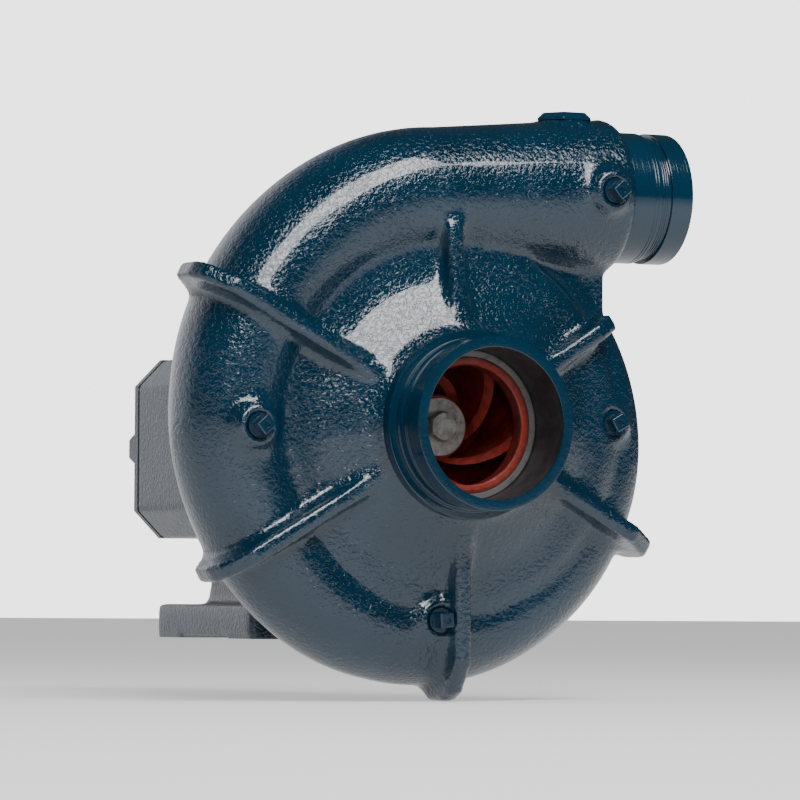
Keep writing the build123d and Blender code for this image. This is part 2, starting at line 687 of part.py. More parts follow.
def bearing_cage(y):
    """A flat cage ring with a pocket round each ball."""
    middle = y + BEARING_WIDTH / 2
    cage = ring(BALL_PITCH_R + 2.6, BALL_PITCH_R - 2.6, middle - CAGE_HALF, middle + CAGE_HALF)
    for pocket in around(Pos(BALL_PITCH_R, middle, 0) * Sphere(BALL_R + 0.1), BALL_COUNT):
        cage = cage - pocket
    return Compound(cage.solids())


def bearing_circlip():
    """The ring that holds the rear bearing on the shaft."""
    y = REAR_BEARING_Y + BEARING_WIDTH
    clip = ring(BEARING_BORE_R + 3, BEARING_BORE_R + FIT, y + SEAT_GAP, y + SEAT_GAP + 1.75)
    return clip - block(-5, 5, y - 1, y + 4, 0, BEARING_BORE_R + 5)


def slinger():
    """The rubber-lipped disc that throws leaked water off the shaft."""
    y = SLINGER_Y
    return turned((SEAL_R + FIT, y - 7), (SEAL_R + 5, y - 7), (SEAL_R + 6, y - 1.5), (SLINGER_R, y + 1.5),
                  (SLINGER_R, y + 4), (SEAL_R + 6, y + 2.5), (SEAL_R + FIT, y + 4))


# Shaft seal

def seal_seat():
    return ring(SEAL_SEAT_R - FIT, SEAL_R + 1, SEAL_WALL_Y - 6, SEAL_WALL_Y + 2)


def seal_face():
    y = SEAL_WALL_Y - 6 - SEAL_RUN_GAP
    return turned((SEAL_R + FIT, y - 6), (SEAL_SEAT_R - 1, y - 6), (SEAL_SEAT_R - 1, y - 2), (SEAL_SEAT_R - 3, y),
                  (SEAL_R + FIT, y))


def seal_bellows():
    y0, y1 = HUB_BACK_Y + SEAT_GAP, SEAL_WALL_Y - 12 - SEAL_RUN_GAP
    return turned((SEAL_R + FIT, y0), (SEAL_R + 7, y0), (SEAL_R + 7, y0 + 2), (SEAL_R + 3.5, y0 + 3),
                  (SEAL_R + 3.5, y1 - 3), (SEAL_R + 7, y1 - 2), (SEAL_R + 7, y1), (SEAL_R + FIT, y1))


def seal_spring():
    """The coil spring that keeps the seal faces together."""
    y0, y1 = HUB_BACK_Y + 2 + 2 * SPRING_WIRE_R, SEAL_WALL_Y - 14 - SEAL_RUN_GAP - 2 * SPRING_WIRE_R
    radius = SEAL_R + 5.5
    path = Helix(pitch=(y1 - y0) / SPRING_TURNS, height=y1 - y0, radius=radius)
    wire = sweep(Plane(path @ 0, z_dir=path % 0) * Circle(SPRING_WIRE_R), path=path)
    return Pos(0, y0, 0) * Rot(-90, 0, 0) * wire


# Backplate and gaskets

def casing_gasket():
    gasket = ring(FLANGE_R, REGISTER_R, CASING_BACK_Y, BACKPLATE_Y)
    return gasket - stud_holes(STUD_R + STUD_CLEARANCE, CASING_BACK_Y - 1, BACKPLATE_Y + 1)


def backplate():
    """The cup-shaped cover that closes the casing and holds the seal."""
    register = REGISTER_R - 0.1
    y = BACKPLATE_FRONT_Y
    cup = turned((SEAL_CHAMBER_R, y), (register - 1, y), (register, y + 1), (register, BACKPLATE_Y),
                 (FLANGE_R, BACKPLATE_Y), (FLANGE_R, FRAME_Y), (register - BACKPLATE_WALL, FRAME_Y),
                 (register - BACKPLATE_WALL - 4, y + BACKPLATE_WALL), (SEAL_CHAMBER_R + 12, y + BACKPLATE_WALL),
                 (SEAL_CHAMBER_R + 8, SEAL_WALL_Y + 8), (SEAL_R + 2, SEAL_WALL_Y + 8), (SEAL_R + 2, SEAL_WALL_Y + 2),
                 (SEAL_SEAT_R, SEAL_WALL_Y + 2), (SEAL_SEAT_R, SEAL_WALL_Y - 2), (SEAL_CHAMBER_R, SEAL_WALL_Y - 2))
    return cup - stud_holes(STUD_R + STUD_CLEARANCE, BACKPLATE_Y - 1, FRAME_Y + 1)


def casing_studs():
    studs = []
    for angle in stud_angles():
        stud = disc(STUD_R - FIT, CASING_BACK_Y - STUD_HOLE_DEPTH, FRAME_Y + FRAME_FLANGE + NUT_HEIGHT + 4,
                    *polar(STUD_CIRCLE_R, angle))
        studs.append(chamfer(stud.edges(), 0.8))
    return Compound(studs)


def casing_nuts():
    nuts = []
    for angle in stud_angles():
        x, z = polar(STUD_CIRCLE_R, angle)
        y0 = FRAME_Y + FRAME_FLANGE
        nut = hex_bar(NUT_HEX, y0, y0 + NUT_HEIGHT, x, z, turn=90 - angle)
        nuts.append(nut - disc(STUD_R, y0 - 1, y0 + NUT_HEIGHT + 1, x, z))
    return Compound(nuts)


# Bearing frame

def octagon(inset, y0, y1):
    """The housing's chamfered section, drawn in by an inset, between two places along the shaft."""
    half_x = HOUSING_HALF_X - inset
    half_z = (HOUSING_TOP_Z - HOUSING_BOTTOM_Z) / 2 - inset
    cut = HOUSING_CHAMFER - inset * (2 - sqrt(2))
    outline = Polyline((half_x - cut, half_z), (half_x, half_z - cut), (half_x, cut - half_z), (half_x - cut, -half_z),
                       (cut - half_x, -half_z), (-half_x, cut - half_z), (-half_x, half_z - cut),
                       (cut - half_x, half_z), close=True)
    plane = Plane((0, y1, HOUSING_MIDDLE_Z), x_dir=(1, 0, 0), z_dir=(0, -1, 0))
    return extrude(plane * make_face(outline), amount=y1 - y0)


def foot(side):
    """One foot with a machined pad at each end."""
    x0, x1 = sorted((side * (FOOT_OUTER_X - FOOT_WIDTH), side * FOOT_OUTER_X))
    y0, y1 = FOOT_CENTRE_Y - FOOT_LENGTH / 2, FOOT_CENTRE_Y + FOOT_LENGTH / 2
    plate = block(x0, x1, y0, y1, -SHAFT_HEIGHT, FOOT_TOP_Z)
    plate = fillet(plate.edges().filter_by(Axis.Z), FOOT_ROUND)
    plate = fillet(plate.faces().sort_by(Axis.Z)[-1].edges(), 3)
    relief = block(x0 - 1, x1 + 1, y0 + FOOT_PAD_LENGTH, y1 - FOOT_PAD_LENGTH, -SHAFT_HEIGHT - 1, FOOT_PAD_RELIEF - SHAFT_HEIGHT)
    return plate - relief


def leg(side):
    """The upright between a foot and the housing, flared where it meets both."""
    x_outer = side * (HOUSING_HALF_X - 1)
    x_inner = x_outer - side * LEG_THICK
    x0, x1 = sorted((x_inner, x_outer))
    waist = (FOOT_TOP_Z + HOUSING_BOTTOM_Z) / 2
    outline = make_face(Spline((LEG_BACK_Y + LEG_FLARE, FOOT_TOP_Z - 4), (LEG_BACK_Y, waist),
                               (LEG_BACK_Y + LEG_FLARE, HOUSING_BOTTOM_Z + 6))
                        + Line((LEG_BACK_Y + LEG_FLARE, HOUSING_BOTTOM_Z + 6), (LEG_FRONT_Y, HOUSING_BOTTOM_Z + 6))
                        + Line((LEG_FRONT_Y, HOUSING_BOTTOM_Z + 6), (LEG_FRONT_Y - LEG_FLARE, FOOT_TOP_Z - 4))
                        + Line((LEG_FRONT_Y - LEG_FLARE, FOOT_TOP_Z - 4), (LEG_BACK_Y + LEG_FLARE, FOOT_TOP_Z - 4)))
    plane = Plane((x0, 0, 0), x_dir=(0, 1, 0), z_dir=(1, 0, 0))
    return extrude(plane * outline, amount=x1 - x0)


def lantern():
    """The hollow cone between the flange and the housing, open at both sides."""
    y0, y1 = FRAME_Y, HOUSING_FRONT_Y + 1
    rim = FRAME_Y + FRAME_FLANGE
    inner = REGISTER_R - BACKPLATE_WALL
    shell = turned((inner, y0), (FLANGE_R, y0), (FLANGE_R, rim), (STUD_CIRCLE_R - 12, rim), (LANTERN_R, y1),
                   (LANTERN_R - LANTERN_WALL, y1), (inner - 8, rim))
    window = block(-FLANGE_R, FLANGE_R, rim + 3, HOUSING_FRONT_Y - 2, -WINDOW_HEIGHT / 2, WINDOW_HEIGHT / 2)
    return shell - window


def frame_web():
    """The cross web that ties the two legs together."""
    x = HOUSING_HALF_X - LEG_THICK / 2
    return block(-x, x, LEG_FRONT_Y + 22, LEG_FRONT_Y + 32, HOUSING_BOTTOM_Z - 20, HOUSING_BOTTOM_Z + 4)


def cover_screw_places():
    x = HOUSING_HALF_X - 8
    z_high, z_low = HOUSING_TOP_Z - 12, HOUSING_BOTTOM_Z + 12
    return [(-x, HOUSING_MIDDLE_Z), (x, HOUSING_MIDDLE_Z), (-46, z_high), (46, z_high), (-46, z_low), (46, z_low)]


def bearing_frame():
    body = octagon(0, HOUSING_FRONT_Y, HOUSING_BACK_Y)
    body = fillet(body.edges().filter_by(Axis.Y), 3)
    body = body + lantern() + frame_web()
    for side in (-1, 1):
        body = body + foot(side) + leg(side)
    body = body - octagon(HOUSING_WALL, FRONT_BEARING_Y + BEARING_WIDTH + 8, REAR_BEARING_Y - 8)
    body = body - disc(BEARING_R, FRONT_BEARING_Y, HOUSING_BACK_Y + 1)
    body = body - disc(LIP_SEAL_R, HOUSING_FRONT_Y - 1, FRONT_BEARING_Y + 1)
    for x, z in cover_screw_places():
        body = body - disc(COVER_SCREW_R, HOUSING_BACK_Y - 18, HOUSING_BACK_Y + 1, x, z)
    for side_x in (-1, 1):
        for side_y in (-1, 1):
            hole_y = FOOT_CENTRE_Y + side_y * FOOT_BOLT_SPACING_Y / 2
            body = body - bar_z(FOOT_HOLE_R, -SHAFT_HEIGHT - 1, FOOT_TOP_Z + 1, side_x * FOOT_BOLT_SPACING_X / 2, hole_y)
    reach = HOUSING_WALL + 6
    body = body - bar_z(OIL_FILL_R, HOUSING_TOP_Z - reach, HOUSING_TOP_Z + 1, 0, OIL_FILL_Y)
    body = body - bar_z(OIL_DRAIN_R, HOUSING_BOTTOM_Z - 1, HOUSING_BOTTOM_Z + reach, 0, OIL_DRAIN_Y)
    body = body - gauge_bar(OIL_GAUGE_R, HOUSING_HALF_X - reach, HOUSING_HALF_X + 1)
    return body - stud_holes(STUD_R + STUD_CLEARANCE, FRAME_Y - 1, FRAME_Y + FRAME_FLANGE + 40)


# Oil fittings

def gauge_bar(radius, x0, x1):
    """A round bar along X at the oil gauge."""
    return Pos((x0 + x1) / 2, OIL_GAUGE_Y, OIL_GAUGE_Z) * Rot(0, 90, 0) * Cylinder(radius, x1 - x0)


def oil_filler_plug():
    """The vented filler cap on top of the housing."""
    z = HOUSING_TOP_Z
    cap = bar_z(OIL_CAP_R, z, z + OIL_CAP_HEIGHT, 0, OIL_FILL_Y)
    cap = fillet(cap.faces().sort_by(Axis.Z)[-1].edges(), 3)
    return cap + bar_z(OIL_FILL_R - FIT, z - OIL_THREAD, z + 1, 0, OIL_FILL_Y)


def oil_drain_plug():
    z = HOUSING_BOTTOM_Z
    face = Plane((0, OIL_DRAIN_Y, z), x_dir=(1, 0, 0), z_dir=(0, 0, -1))
    head = extrude(face * RegularPolygon(OIL_DRAIN_HEX / 2, 6, major_radius=False), amount=OIL_DRAIN_HEAD)
    return head + bar_z(OIL_DRAIN_R - FIT, z - 1, z + OIL_THREAD, 0, OIL_DRAIN_Y)


def oil_gauge():
    """The screwed sight glass in the housing's side."""
    x = HOUSING_HALF_X
    plane = Plane((x, OIL_GAUGE_Y, OIL_GAUGE_Z), x_dir=(0, 1, 0), z_dir=(1, 0, 0))
    bezel = extrude(plane * RegularPolygon(OIL_GAUGE_HEX / 2, 6, major_radius=False), amount=OIL_GAUGE_BEZEL)
    window = gauge_bar(OIL_GAUGE_GLASS_R, x + OIL_GAUGE_BEZEL / 2, x + OIL_GAUGE_BEZEL + 1)
    return bezel + gauge_bar(OIL_GAUGE_R - FIT, x - OIL_THREAD, x + 1) - window


# Rear cover

def rear_cover_gasket():
    y = HOUSING_BACK_Y
    gasket = octagon(COVER_GASKET_SETBACK, y, COVER_Y) - disc(BEARING_R, y - 1, COVER_Y + 1)
    for x, z in cover_screw_places():
        gasket = gasket - disc(COVER_SCREW_R + 0.4, y - 1, COVER_Y + 1, x, z)
    return gasket


def cover_boss(x, z):
    cone = turned((0, COVER_Y), (COVER_BOSS_R, COVER_Y), (COVER_BOSS_R, COVER_BACK_Y),
                  (COVER_BOSS_TOP_R, COVER_BACK_Y + COVER_BOSS_HEIGHT), (0, COVER_BACK_Y + COVER_BOSS_HEIGHT))
    return Pos(x, 0, z) * cone


def rear_cover():
    """The bolted rear cover with a boss round each sunk screw and one round the shaft."""
    plate = octagon(0, COVER_Y, COVER_BACK_Y)
    plate = chamfer(plate.faces().sort_by(Axis.Y)[-1].edges(), 2)
    bosses = [cover_boss(x, z) for x, z in cover_screw_places()]
    trim = octagon(0, COVER_Y, COVER_BACK_Y + 20)
    plate = plate + (fused(bosses) & trim)
    hub = turned((0, COVER_Y), (LIP_SEAL_R + 16, COVER_Y), (LIP_SEAL_R + 12, COVER_BACK_Y + 8), (0, COVER_BACK_Y + 8))
    plate = plate + hub + ring(BEARING_R - RUNNING, BEARING_R - 6, REAR_BEARING_Y + BEARING_WIDTH + SEAT_GAP, COVER_Y)
    plate = plate - disc(LIP_SEAL_R, COVER_Y + 4, COVER_BACK_Y + 9) - disc(DRIVE_R + 2, COVER_Y - 12, COVER_Y + 5)
    for x, z in cover_screw_places():
        head_y = COVER_BACK_Y + COVER_BOSS_HEIGHT - COVER_SCREW_SINK - COVER_SCREW_HEAD
        plate = plate - disc(COVER_SCREW_R + 0.4, COVER_Y - 1, COVER_BACK_Y + 9, x, z)
        plate = plate - disc(COVER_SCREW_HEAD_R + 0.3, head_y, COVER_BACK_Y + 9, x, z)
    return plate


def cover_screws():
    screws = []
    head_y = COVER_BACK_Y + COVER_BOSS_HEIGHT - COVER_SCREW_SINK - COVER_SCREW_HEAD
    for x, z in cover_screw_places():
        head = disc(COVER_SCREW_HEAD_R, head_y, head_y + COVER_SCREW_HEAD, x, z)
        socket = hex_bar(6, head_y + COVER_SCREW_HEAD - 4, head_y + COVER_SCREW_HEAD + 1, x, z)
        screws.append(head - socket + disc(COVER_SCREW_R - FIT, head_y + 1 - COVER_SCREW_LENGTH, head_y + 1, x, z))
    return Compound(screws)


def lip_seal(y):
    """A lip seal with its outer case and the lip that wipes the shaft."""
    inner = SEAL_R + RUNNING
    return turned((LIP_SEAL_R - FIT, y), (LIP_SEAL_R - FIT, y + LIP_SEAL_WIDTH), (LIP_SEAL_R - 3, y + LIP_SEAL_WIDTH),
                  (LIP_SEAL_R - 3, y + 3), (inner + 3, y + 3), (inner, y + LIP_SEAL_WIDTH - 2), (inner, y))


def front_lip_seal():
    return lip_seal(HOUSING_FRONT_Y)


def rear_lip_seal():
    return lip_seal(COVER_Y + 4)


# Writing the pieces

PIECES = {
    "volute_casing": volute_casing, "wear_ring": wear_ring, "pipe_plugs": pipe_plugs, "priming_plug": priming_plug,
    "impeller": impeller, "impeller_key": impeller_key, "impeller_washer": impeller_washer,
    "impeller_bolt": impeller_bolt, "shaft": shaft, "drive_key": drive_key, "slinger": slinger,
    "bearing_circlip": bearing_circlip, "seal_seat": seal_seat, "seal_face": seal_face, "seal_bellows": seal_bellows,
    "seal_spring": seal_spring, "casing_gasket": casing_gasket, "backplate": backplate, "casing_studs": casing_studs,
    "casing_nuts": casing_nuts, "bearing_frame": bearing_frame, "front_lip_seal": front_lip_seal,
    "rear_lip_seal": rear_lip_seal, "rear_cover_gasket": rear_cover_gasket, "rear_cover": rear_cover,
    "cover_screws": cover_screws, "oil_filler_plug": oil_filler_plug, "oil_drain_plug": oil_drain_plug,
    "oil_gauge": oil_gauge,
}

for place, place_y in (("front", FRONT_BEARING_Y), ("rear", REAR_BEARING_Y)):
    PIECES[place + "_bearing_outer"] = lambda y=place_y: bearing_outer(y)
    PIECES[place + "_bearing_inner"] = lambda y=place_y: bearing_inner(y)
    PIECES[place + "_bearing_balls"] = lambda y=place_y: bearing_balls(y)
    PIECES[place + "_bearing_cage"] = lambda y=place_y: bearing_cage(y)


def stand(shape):
    """Moves a piece from the pump frame to the frame of the feet."""
    return Pos(0, -FOOT_CENTRE_Y, SHAFT_HEIGHT) * shape


os.makedirs("parts", exist_ok=True)
for name, make in PIECES.items():
    export_step(stand(make()), "parts/" + name + ".step")
    print("wrote", name)
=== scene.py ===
import contextlib
import json
import math

import bmesh
import bpy
import numpy
from bpy.props import FloatProperty, FloatVectorProperty, IntProperty, PointerProperty
from mathutils import Matrix, Vector


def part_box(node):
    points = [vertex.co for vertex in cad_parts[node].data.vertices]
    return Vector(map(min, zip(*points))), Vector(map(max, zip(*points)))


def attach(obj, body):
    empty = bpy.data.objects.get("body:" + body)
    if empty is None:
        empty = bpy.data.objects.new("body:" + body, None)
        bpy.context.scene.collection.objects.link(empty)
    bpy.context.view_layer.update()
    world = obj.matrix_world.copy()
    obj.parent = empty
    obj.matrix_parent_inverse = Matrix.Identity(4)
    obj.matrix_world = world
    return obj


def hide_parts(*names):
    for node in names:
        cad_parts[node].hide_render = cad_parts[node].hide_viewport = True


bl_info = {
    "name": "Centrifugal water pump",
    "version": (1, 0, 0),
    "blender": (4, 5, 0),
    "location": "View3D > Sidebar > Pump",
    "description": "Dresses the pump's frame with cast, machined and painted surfaces",
    "category": "Object",
}

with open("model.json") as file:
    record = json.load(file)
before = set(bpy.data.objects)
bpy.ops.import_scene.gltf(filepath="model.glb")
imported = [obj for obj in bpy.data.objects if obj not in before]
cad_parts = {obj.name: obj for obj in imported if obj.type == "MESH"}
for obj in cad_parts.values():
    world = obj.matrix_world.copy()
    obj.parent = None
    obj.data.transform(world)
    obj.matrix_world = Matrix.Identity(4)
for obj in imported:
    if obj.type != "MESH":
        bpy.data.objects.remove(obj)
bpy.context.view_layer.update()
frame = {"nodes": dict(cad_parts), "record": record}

# Places read from the frame, in metres
MM = 0.001
MOUNTS = {mount["name"]: mount for mount in frame["record"]["mounts"]}
SHAFT_Z = MOUNTS["suction_spigot"]["pos_m"][2]
PLANE_Y = MOUNTS["discharge_spigot"]["pos_m"][1]
DISCHARGE_Z = MOUNTS["discharge_spigot"]["pos_m"][2]
SUCTION_R = MOUNTS["suction_spigot"]["dims"]["r_mm"] * MM
SUCTION_BORE_R = MOUNTS["suction_bore"]["dims"]["r_mm"] * MM
DISCHARGE_R = MOUNTS["discharge_spigot"]["dims"]["r_mm"] * MM
DISCHARGE_BORE_R = MOUNTS["discharge_bore"]["dims"]["r_mm"] * MM
MOUTH_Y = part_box("volute_casing")[0][1]
MOUTH_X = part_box("volute_casing")[1][0]
RING_FRONT_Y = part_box("wear_ring")[0][1]
RING_BACK_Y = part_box("wear_ring")[1][1]
CASING_BACK_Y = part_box("volute_casing")[1][1]
HOUSING_BACK_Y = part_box("rear_cover_gasket")[0][1]
LOWEST_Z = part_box("volute_casing")[0][2]

# Pipe ends: setbacks are behind the mouth
SHOULDER_SETBACK = 31.3 * MM
SHOULDER_R = 62.7 * MM
SHOULDER_WIDTH = 9.0 * MM
GROOVE_SETBACK = 15.9 * MM
DISCHARGE_BODY_SETBACK = 46.0 * MM
LAND_SETBACK = 30.0 * MM
END_OVERLAP = 6.0 * MM
TOOL_LINE_DEPTH = 0.3 * MM
TOOL_LINE_HALF = 0.35 * MM
TURNED_EDGE = 0.7 * MM

# Where the cast skin is cut for the pipe ends, and how its rims are told: near the cut, facing along it
NECK_OVERLAP = 2.0 * MM
OUTLET_OVERLAP = 0.4 * MM
NECK_CUT_R = SHOULDER_R + 8.0 * MM
NECK_RIM_R = SHOULDER_R + 9.0 * MM
OUTLET_CUT_R = DISCHARGE_R + 25.0 * MM
OUTLET_RIM_R = DISCHARGE_R + 24.0 * MM
CUT_LEAD = 10.0 * MM
RIM_DEPTH = 1.2 * MM
FACING = 0.9

# How far from a joint, a seat or a foot's sole a cast skin keeps its shape
CASING_JOINT_KEEP = 3.0 * MM
SEAT_KEEP_R = SUCTION_BORE_R + 5.0 * MM
SEAT_KEEP = 2.0 * MM
HOUSING_JOINT_KEEP = 2.0 * MM
SOLE_KEEP = 2.5 * MM

# Impeller eye, wear ring and centre bolt
LIP_SETBACK = 0.5 * MM
LIP_END = 7.0 * MM
LIP_INNER_R = 42.2 * MM
LIP_R = 44.9 * MM
RING_EYE_R = 45.2 * MM
RING_FACE_R = 49.2 * MM
RING_STEP_R = 50.6 * MM
RING_R = 52.3 * MM
RING_CHAMFER = 1.4 * MM
RING_STEP = 3.0 * MM
WASHER_BORE_R = 6.5 * MM
BOLT_ACROSS = 17.8 * MM
BOLT_SHANK_R = 5.9 * MM
BOLT_CHAMFER = 0.9 * MM

# Studs, nuts, screws, balls and spring
STUD_CIRCLE_R = 119.0 * MM
STUD_COUNT = 8
STUD_R = 5.9 * MM
STUD_CHAMFER = 1.0 * MM
NUT_ACROSS = 18.0 * MM
BALL_COUNT = 8
SCREW_R = 3.9 * MM
SCREW_HEAD_R = 6.4 * MM
SCREW_HEAD = 8.0 * MM
SCREW_SOCKET = 6.0 * MM
SOCKET_DEPTH = 4.0 * MM
SPRING_WIRE_R = 1.3 * MM
SPRING_TURNS = 3.5

# A turned solid's radius at its axis, and how near points are welded
AXIS_R = 0.01 * MM
WELD = 0.004 * MM

# Studio floor: half its side, and its gap below the pump
FLOOR_REACH = 14.0
FLOOR_GAP = 0.2 * MM

# Nodes that already have their finished piece
DRESSED = set()


def length_setting(name, description, default, low, high):
    """A length, given in millimetres."""
    return FloatProperty(name=name, description=description, default=default * MM,
                         min=low * MM, max=high * MM, unit="LENGTH")


def angle_setting(name, description, degrees):
    """An angle, given in degrees."""
    return FloatProperty(name=name, description=description, default=math.radians(degrees), unit="ROTATION")


def colour_setting(name, description, default):
    """A colour."""
    return FloatVectorProperty(name=name, description=description, default=default,
                               subtype="COLOR", min=0.0, max=1.0)


class PumpSizes(bpy.types.PropertyGroup):
    """Sizes that a user may change."""
    voxel: length_setting("Skin mesh", "Mesh size of the cast skins", 2.4, 1.0, 8.0)
    edge_rounds: IntProperty(name="Edge rounds", description="How far outer cast corners are rounded",
                             default=2, min=0, max=60)
    fillet_rounds: IntProperty(name="Fillet rounds", description="How far inner cast corners are filled",
                               default=14, min=0, max=60)
    segments: IntProperty(name="Segments", description="Facets round a turned piece",
                          default=192, min=24, max=400)
    groove_depth: length_setting("Groove depth", "Depth of the coupling grooves", 2.1, 0.5, 4.0)
    suction_groove: length_setting("Suction groove", "Width of the suction groove", 9.5, 4.0, 14.0)
    discharge_groove: length_setting("Discharge groove", "Width of the discharge groove", 8.0, 4.0, 14.0)
    grain: length_setting("Cast texture", "Height of the sand-cast texture under the enamel", 0.95, 0.0, 3.0)


class PumpColours(bpy.types.PropertyGroup):
    """Colours of the finishes."""
    enamel: colour_setting("Enamel", "Gloss enamel of the castings", (0.0011, 0.0195, 0.0400))
    frame: colour_setting("Frame", "Duller enamel of the bearing frame", (0.010, 0.027, 0.045))
    primer: colour_setting("Primer", "Primer on the impeller", (0.130, 0.0120, 0.0085))
    iron: colour_setting("Iron", "Bare machined iron", (0.170, 0.165, 0.160))
    zinc: colour_setting("Zinc", "Plated bolt and washer", (0.430, 0.420, 0.400))
    floor: colour_setting("Floor", "Studio floor", (0.45, 0.45, 0.45))


class PumpCamera(bpy.types.PropertyGroup):
    """Where the photograph was taken from, about the centre of the suction mouth."""
    azimuth: angle_setting("Azimuth", "Turn round the pump", -27.79)
    elevation: angle_setting("Elevation", "Height over the shaft axis", -1.89)
    roll: angle_setting("Roll", "Turn about the view", 0.34)
    pan: angle_setting("Pan", "Aim to the left of the mouth", 1.023)
    tilt: angle_setting("Tilt", "Aim above the mouth", 0.249)
    distance: FloatProperty(name="Distance", description="From the mouth",
                            default=3.5185, min=0.5, unit="LENGTH")
    lens: FloatProperty(name="Lens", description="Focal length in millimetres", default=243.0, min=20.0)


# Node trees

class Value:
    """A socket that Python arithmetic turns into Math nodes."""

    def __init__(self, maker, socket):
        self.maker = maker
        self.socket = socket

    def math(self, operation, first, second):
        return self.maker.node("ShaderNodeMath", {"operation": operation}, {0: first, 1: second})

    def __add__(self, other):
        return self.math("ADD", self, other)

    __radd__ = __add__

    def __sub__(self, other):
        return self.math("SUBTRACT", self, other)

    def __rsub__(self, other):
        return self.math("SUBTRACT", other, self)

    def __mul__(self, other):
        return self.math("MULTIPLY", self, other)

    __rmul__ = __mul__

    def __truediv__(self, other):
        return self.math("DIVIDE", self, other)

    def __rtruediv__(self, other):
        return self.math("DIVIDE", other, self)

    def ramp(self, low, high):
        """0 at low, 1 at high, smooth between."""
        return self.maker.node("ShaderNodeMapRange", {"interpolation_type": "SMOOTHSTEP"},
                               {"Value": self, "From Min": low, "From Max": high})


class NodeWork:
    """A node tree under construction."""

    def __init__(self, tree):
        self.tree = tree

    def node(self, kind, settings, sockets, output=0):
        """Adds a node of any kind, sets it up and returns one of its outputs."""
        made = self.tree.nodes.new(kind)
        for name, value in settings.items():
            setattr(made, name, value)
        for name, value in sockets.items():
            self.plug(made.inputs[name], value)
        return Value(self, made.outputs[output])

    def plug(self, socket, value):
        """Links a value to a socket, or sets the socket to a constant."""
        if isinstance(value, Value):
            self.tree.links.new(value.socket, socket)
        elif isinstance(value, (tuple, list)) and len(value) == 3 and socket.type == "RGBA":
            socket.default_value = (*value, 1.0)
        else:
            socket.default_value = value

    def mix(self, factor, first, second):
        """A colour between two colours."""
        return self.node("ShaderNodeMix", {"data_type": "RGBA"}, {0: factor, 6: first, 7: second}, 2)


class Finish(NodeWork):
    """A material: one Principled shader and what feeds it."""

    def __init__(self, name, **constants):
        self.material = bpy.data.materials.new(name)
        self.material.use_nodes = True
        super().__init__(self.material.node_tree)
        self.shader = self.tree.nodes["Principled BSDF"]
        for socket, value in constants.items():
            self.set(socket.replace("_", " "), value)
        self.place = self.node("ShaderNodeTexCoord", {}, {}, "Object")

    def set(self, socket, value):
        """Feeds one socket of the shader."""
        self.plug(self.shader.inputs[socket], value)

    def noise(self, size, detail=3.0, roughness=0.55, distortion=0.0, place=None):
        """Noise whose features are about size metres wide."""
        return self.node("ShaderNodeTexNoise", {},
                         {"Vector": place or self.place, "Scale": 1.0 / size, "Detail": detail,
                          "Roughness": roughness, "Distortion": distortion})

    def cells(self, size, smoothness=0.6):
        """Soft pebbles about size metres wide."""
        return self.node("ShaderNodeTexVoronoi", {"feature": "SMOOTH_F1"},
                         {"Vector": self.place, "Scale": 1.0 / size, "Smoothness": smoothness})

    def stretched(self, x, y, z):
        """The place on the piece, scaled along each axis."""
        return self.node("ShaderNodeMapping", {}, {"Vector": self.place, "Scale": (x, y, z)})

    def edges(self):
        """Near 1 on sharp convex corners, 0.5 on flats."""
        return self.node("ShaderNodeNewGeometry", {}, {}, "Pointiness")

    def bump(self, height, depth):
        """Relief, depth metres from 0 to 1."""
        self.set("Normal", self.node("ShaderNodeBump", {},
                                     {"Height": height, "Distance": depth, "Strength": 1.0}))


class Arrangement(NodeWork):
    """A Geometry Nodes tree with named inputs, which ends in a real mesh of one material."""

    KINDS = {float: "NodeSocketFloat", int: "NodeSocketInt", tuple: "NodeSocketVector"}

    def __init__(self, name, **inputs):
        super().__init__(bpy.data.node_groups.new(name, "GeometryNodeTree"))
        face = self.tree.interface
        face.new_socket("Geometry", in_out="OUTPUT", socket_type="NodeSocketGeometry")
        face.new_socket("Geometry", in_out="INPUT", socket_type="NodeSocketGeometry")
        finish = face.new_socket("Finish", in_out="INPUT", socket_type="NodeSocketMaterial")
        self.sockets = {"Finish": finish}
        for key, default in inputs.items():
            label = key.replace("_", " ").capitalize()
            socket = face.new_socket(label, in_out="INPUT", socket_type=self.KINDS[type(default)])
            socket.default_value = default
            self.sockets[label] = socket
        self.entry = self.tree.nodes.new("NodeGroupInput")

    def input(self, name):
        """One of the tree's inputs, as a value."""
        return Value(self, self.entry.outputs[name])

    def close(self, instances):
        """Ends the tree."""
        solid = self.node("GeometryNodeRealizeInstances", {}, {"Geometry": instances})
        painted = self.node("GeometryNodeSetMaterial", {},
                            {"Geometry": solid, "Material": self.input("Finish")})
        end = self.tree.nodes.new("NodeGroupOutput")
        self.plug(end.inputs["Geometry"], painted)
        return self

    def lay(self, piece, material, **values):
        """Runs the tree on a piece and keeps the result as the piece's plain mesh."""
        step = piece.modifiers.new("arrangement", "NODES")
        step.node_group = self.tree
        step[self.sockets["Finish"].identifier] = material
        for key, value in values.items():
            step[self.sockets[key.replace("_", " ").capitalize()].identifier] = value
        return applied(piece)


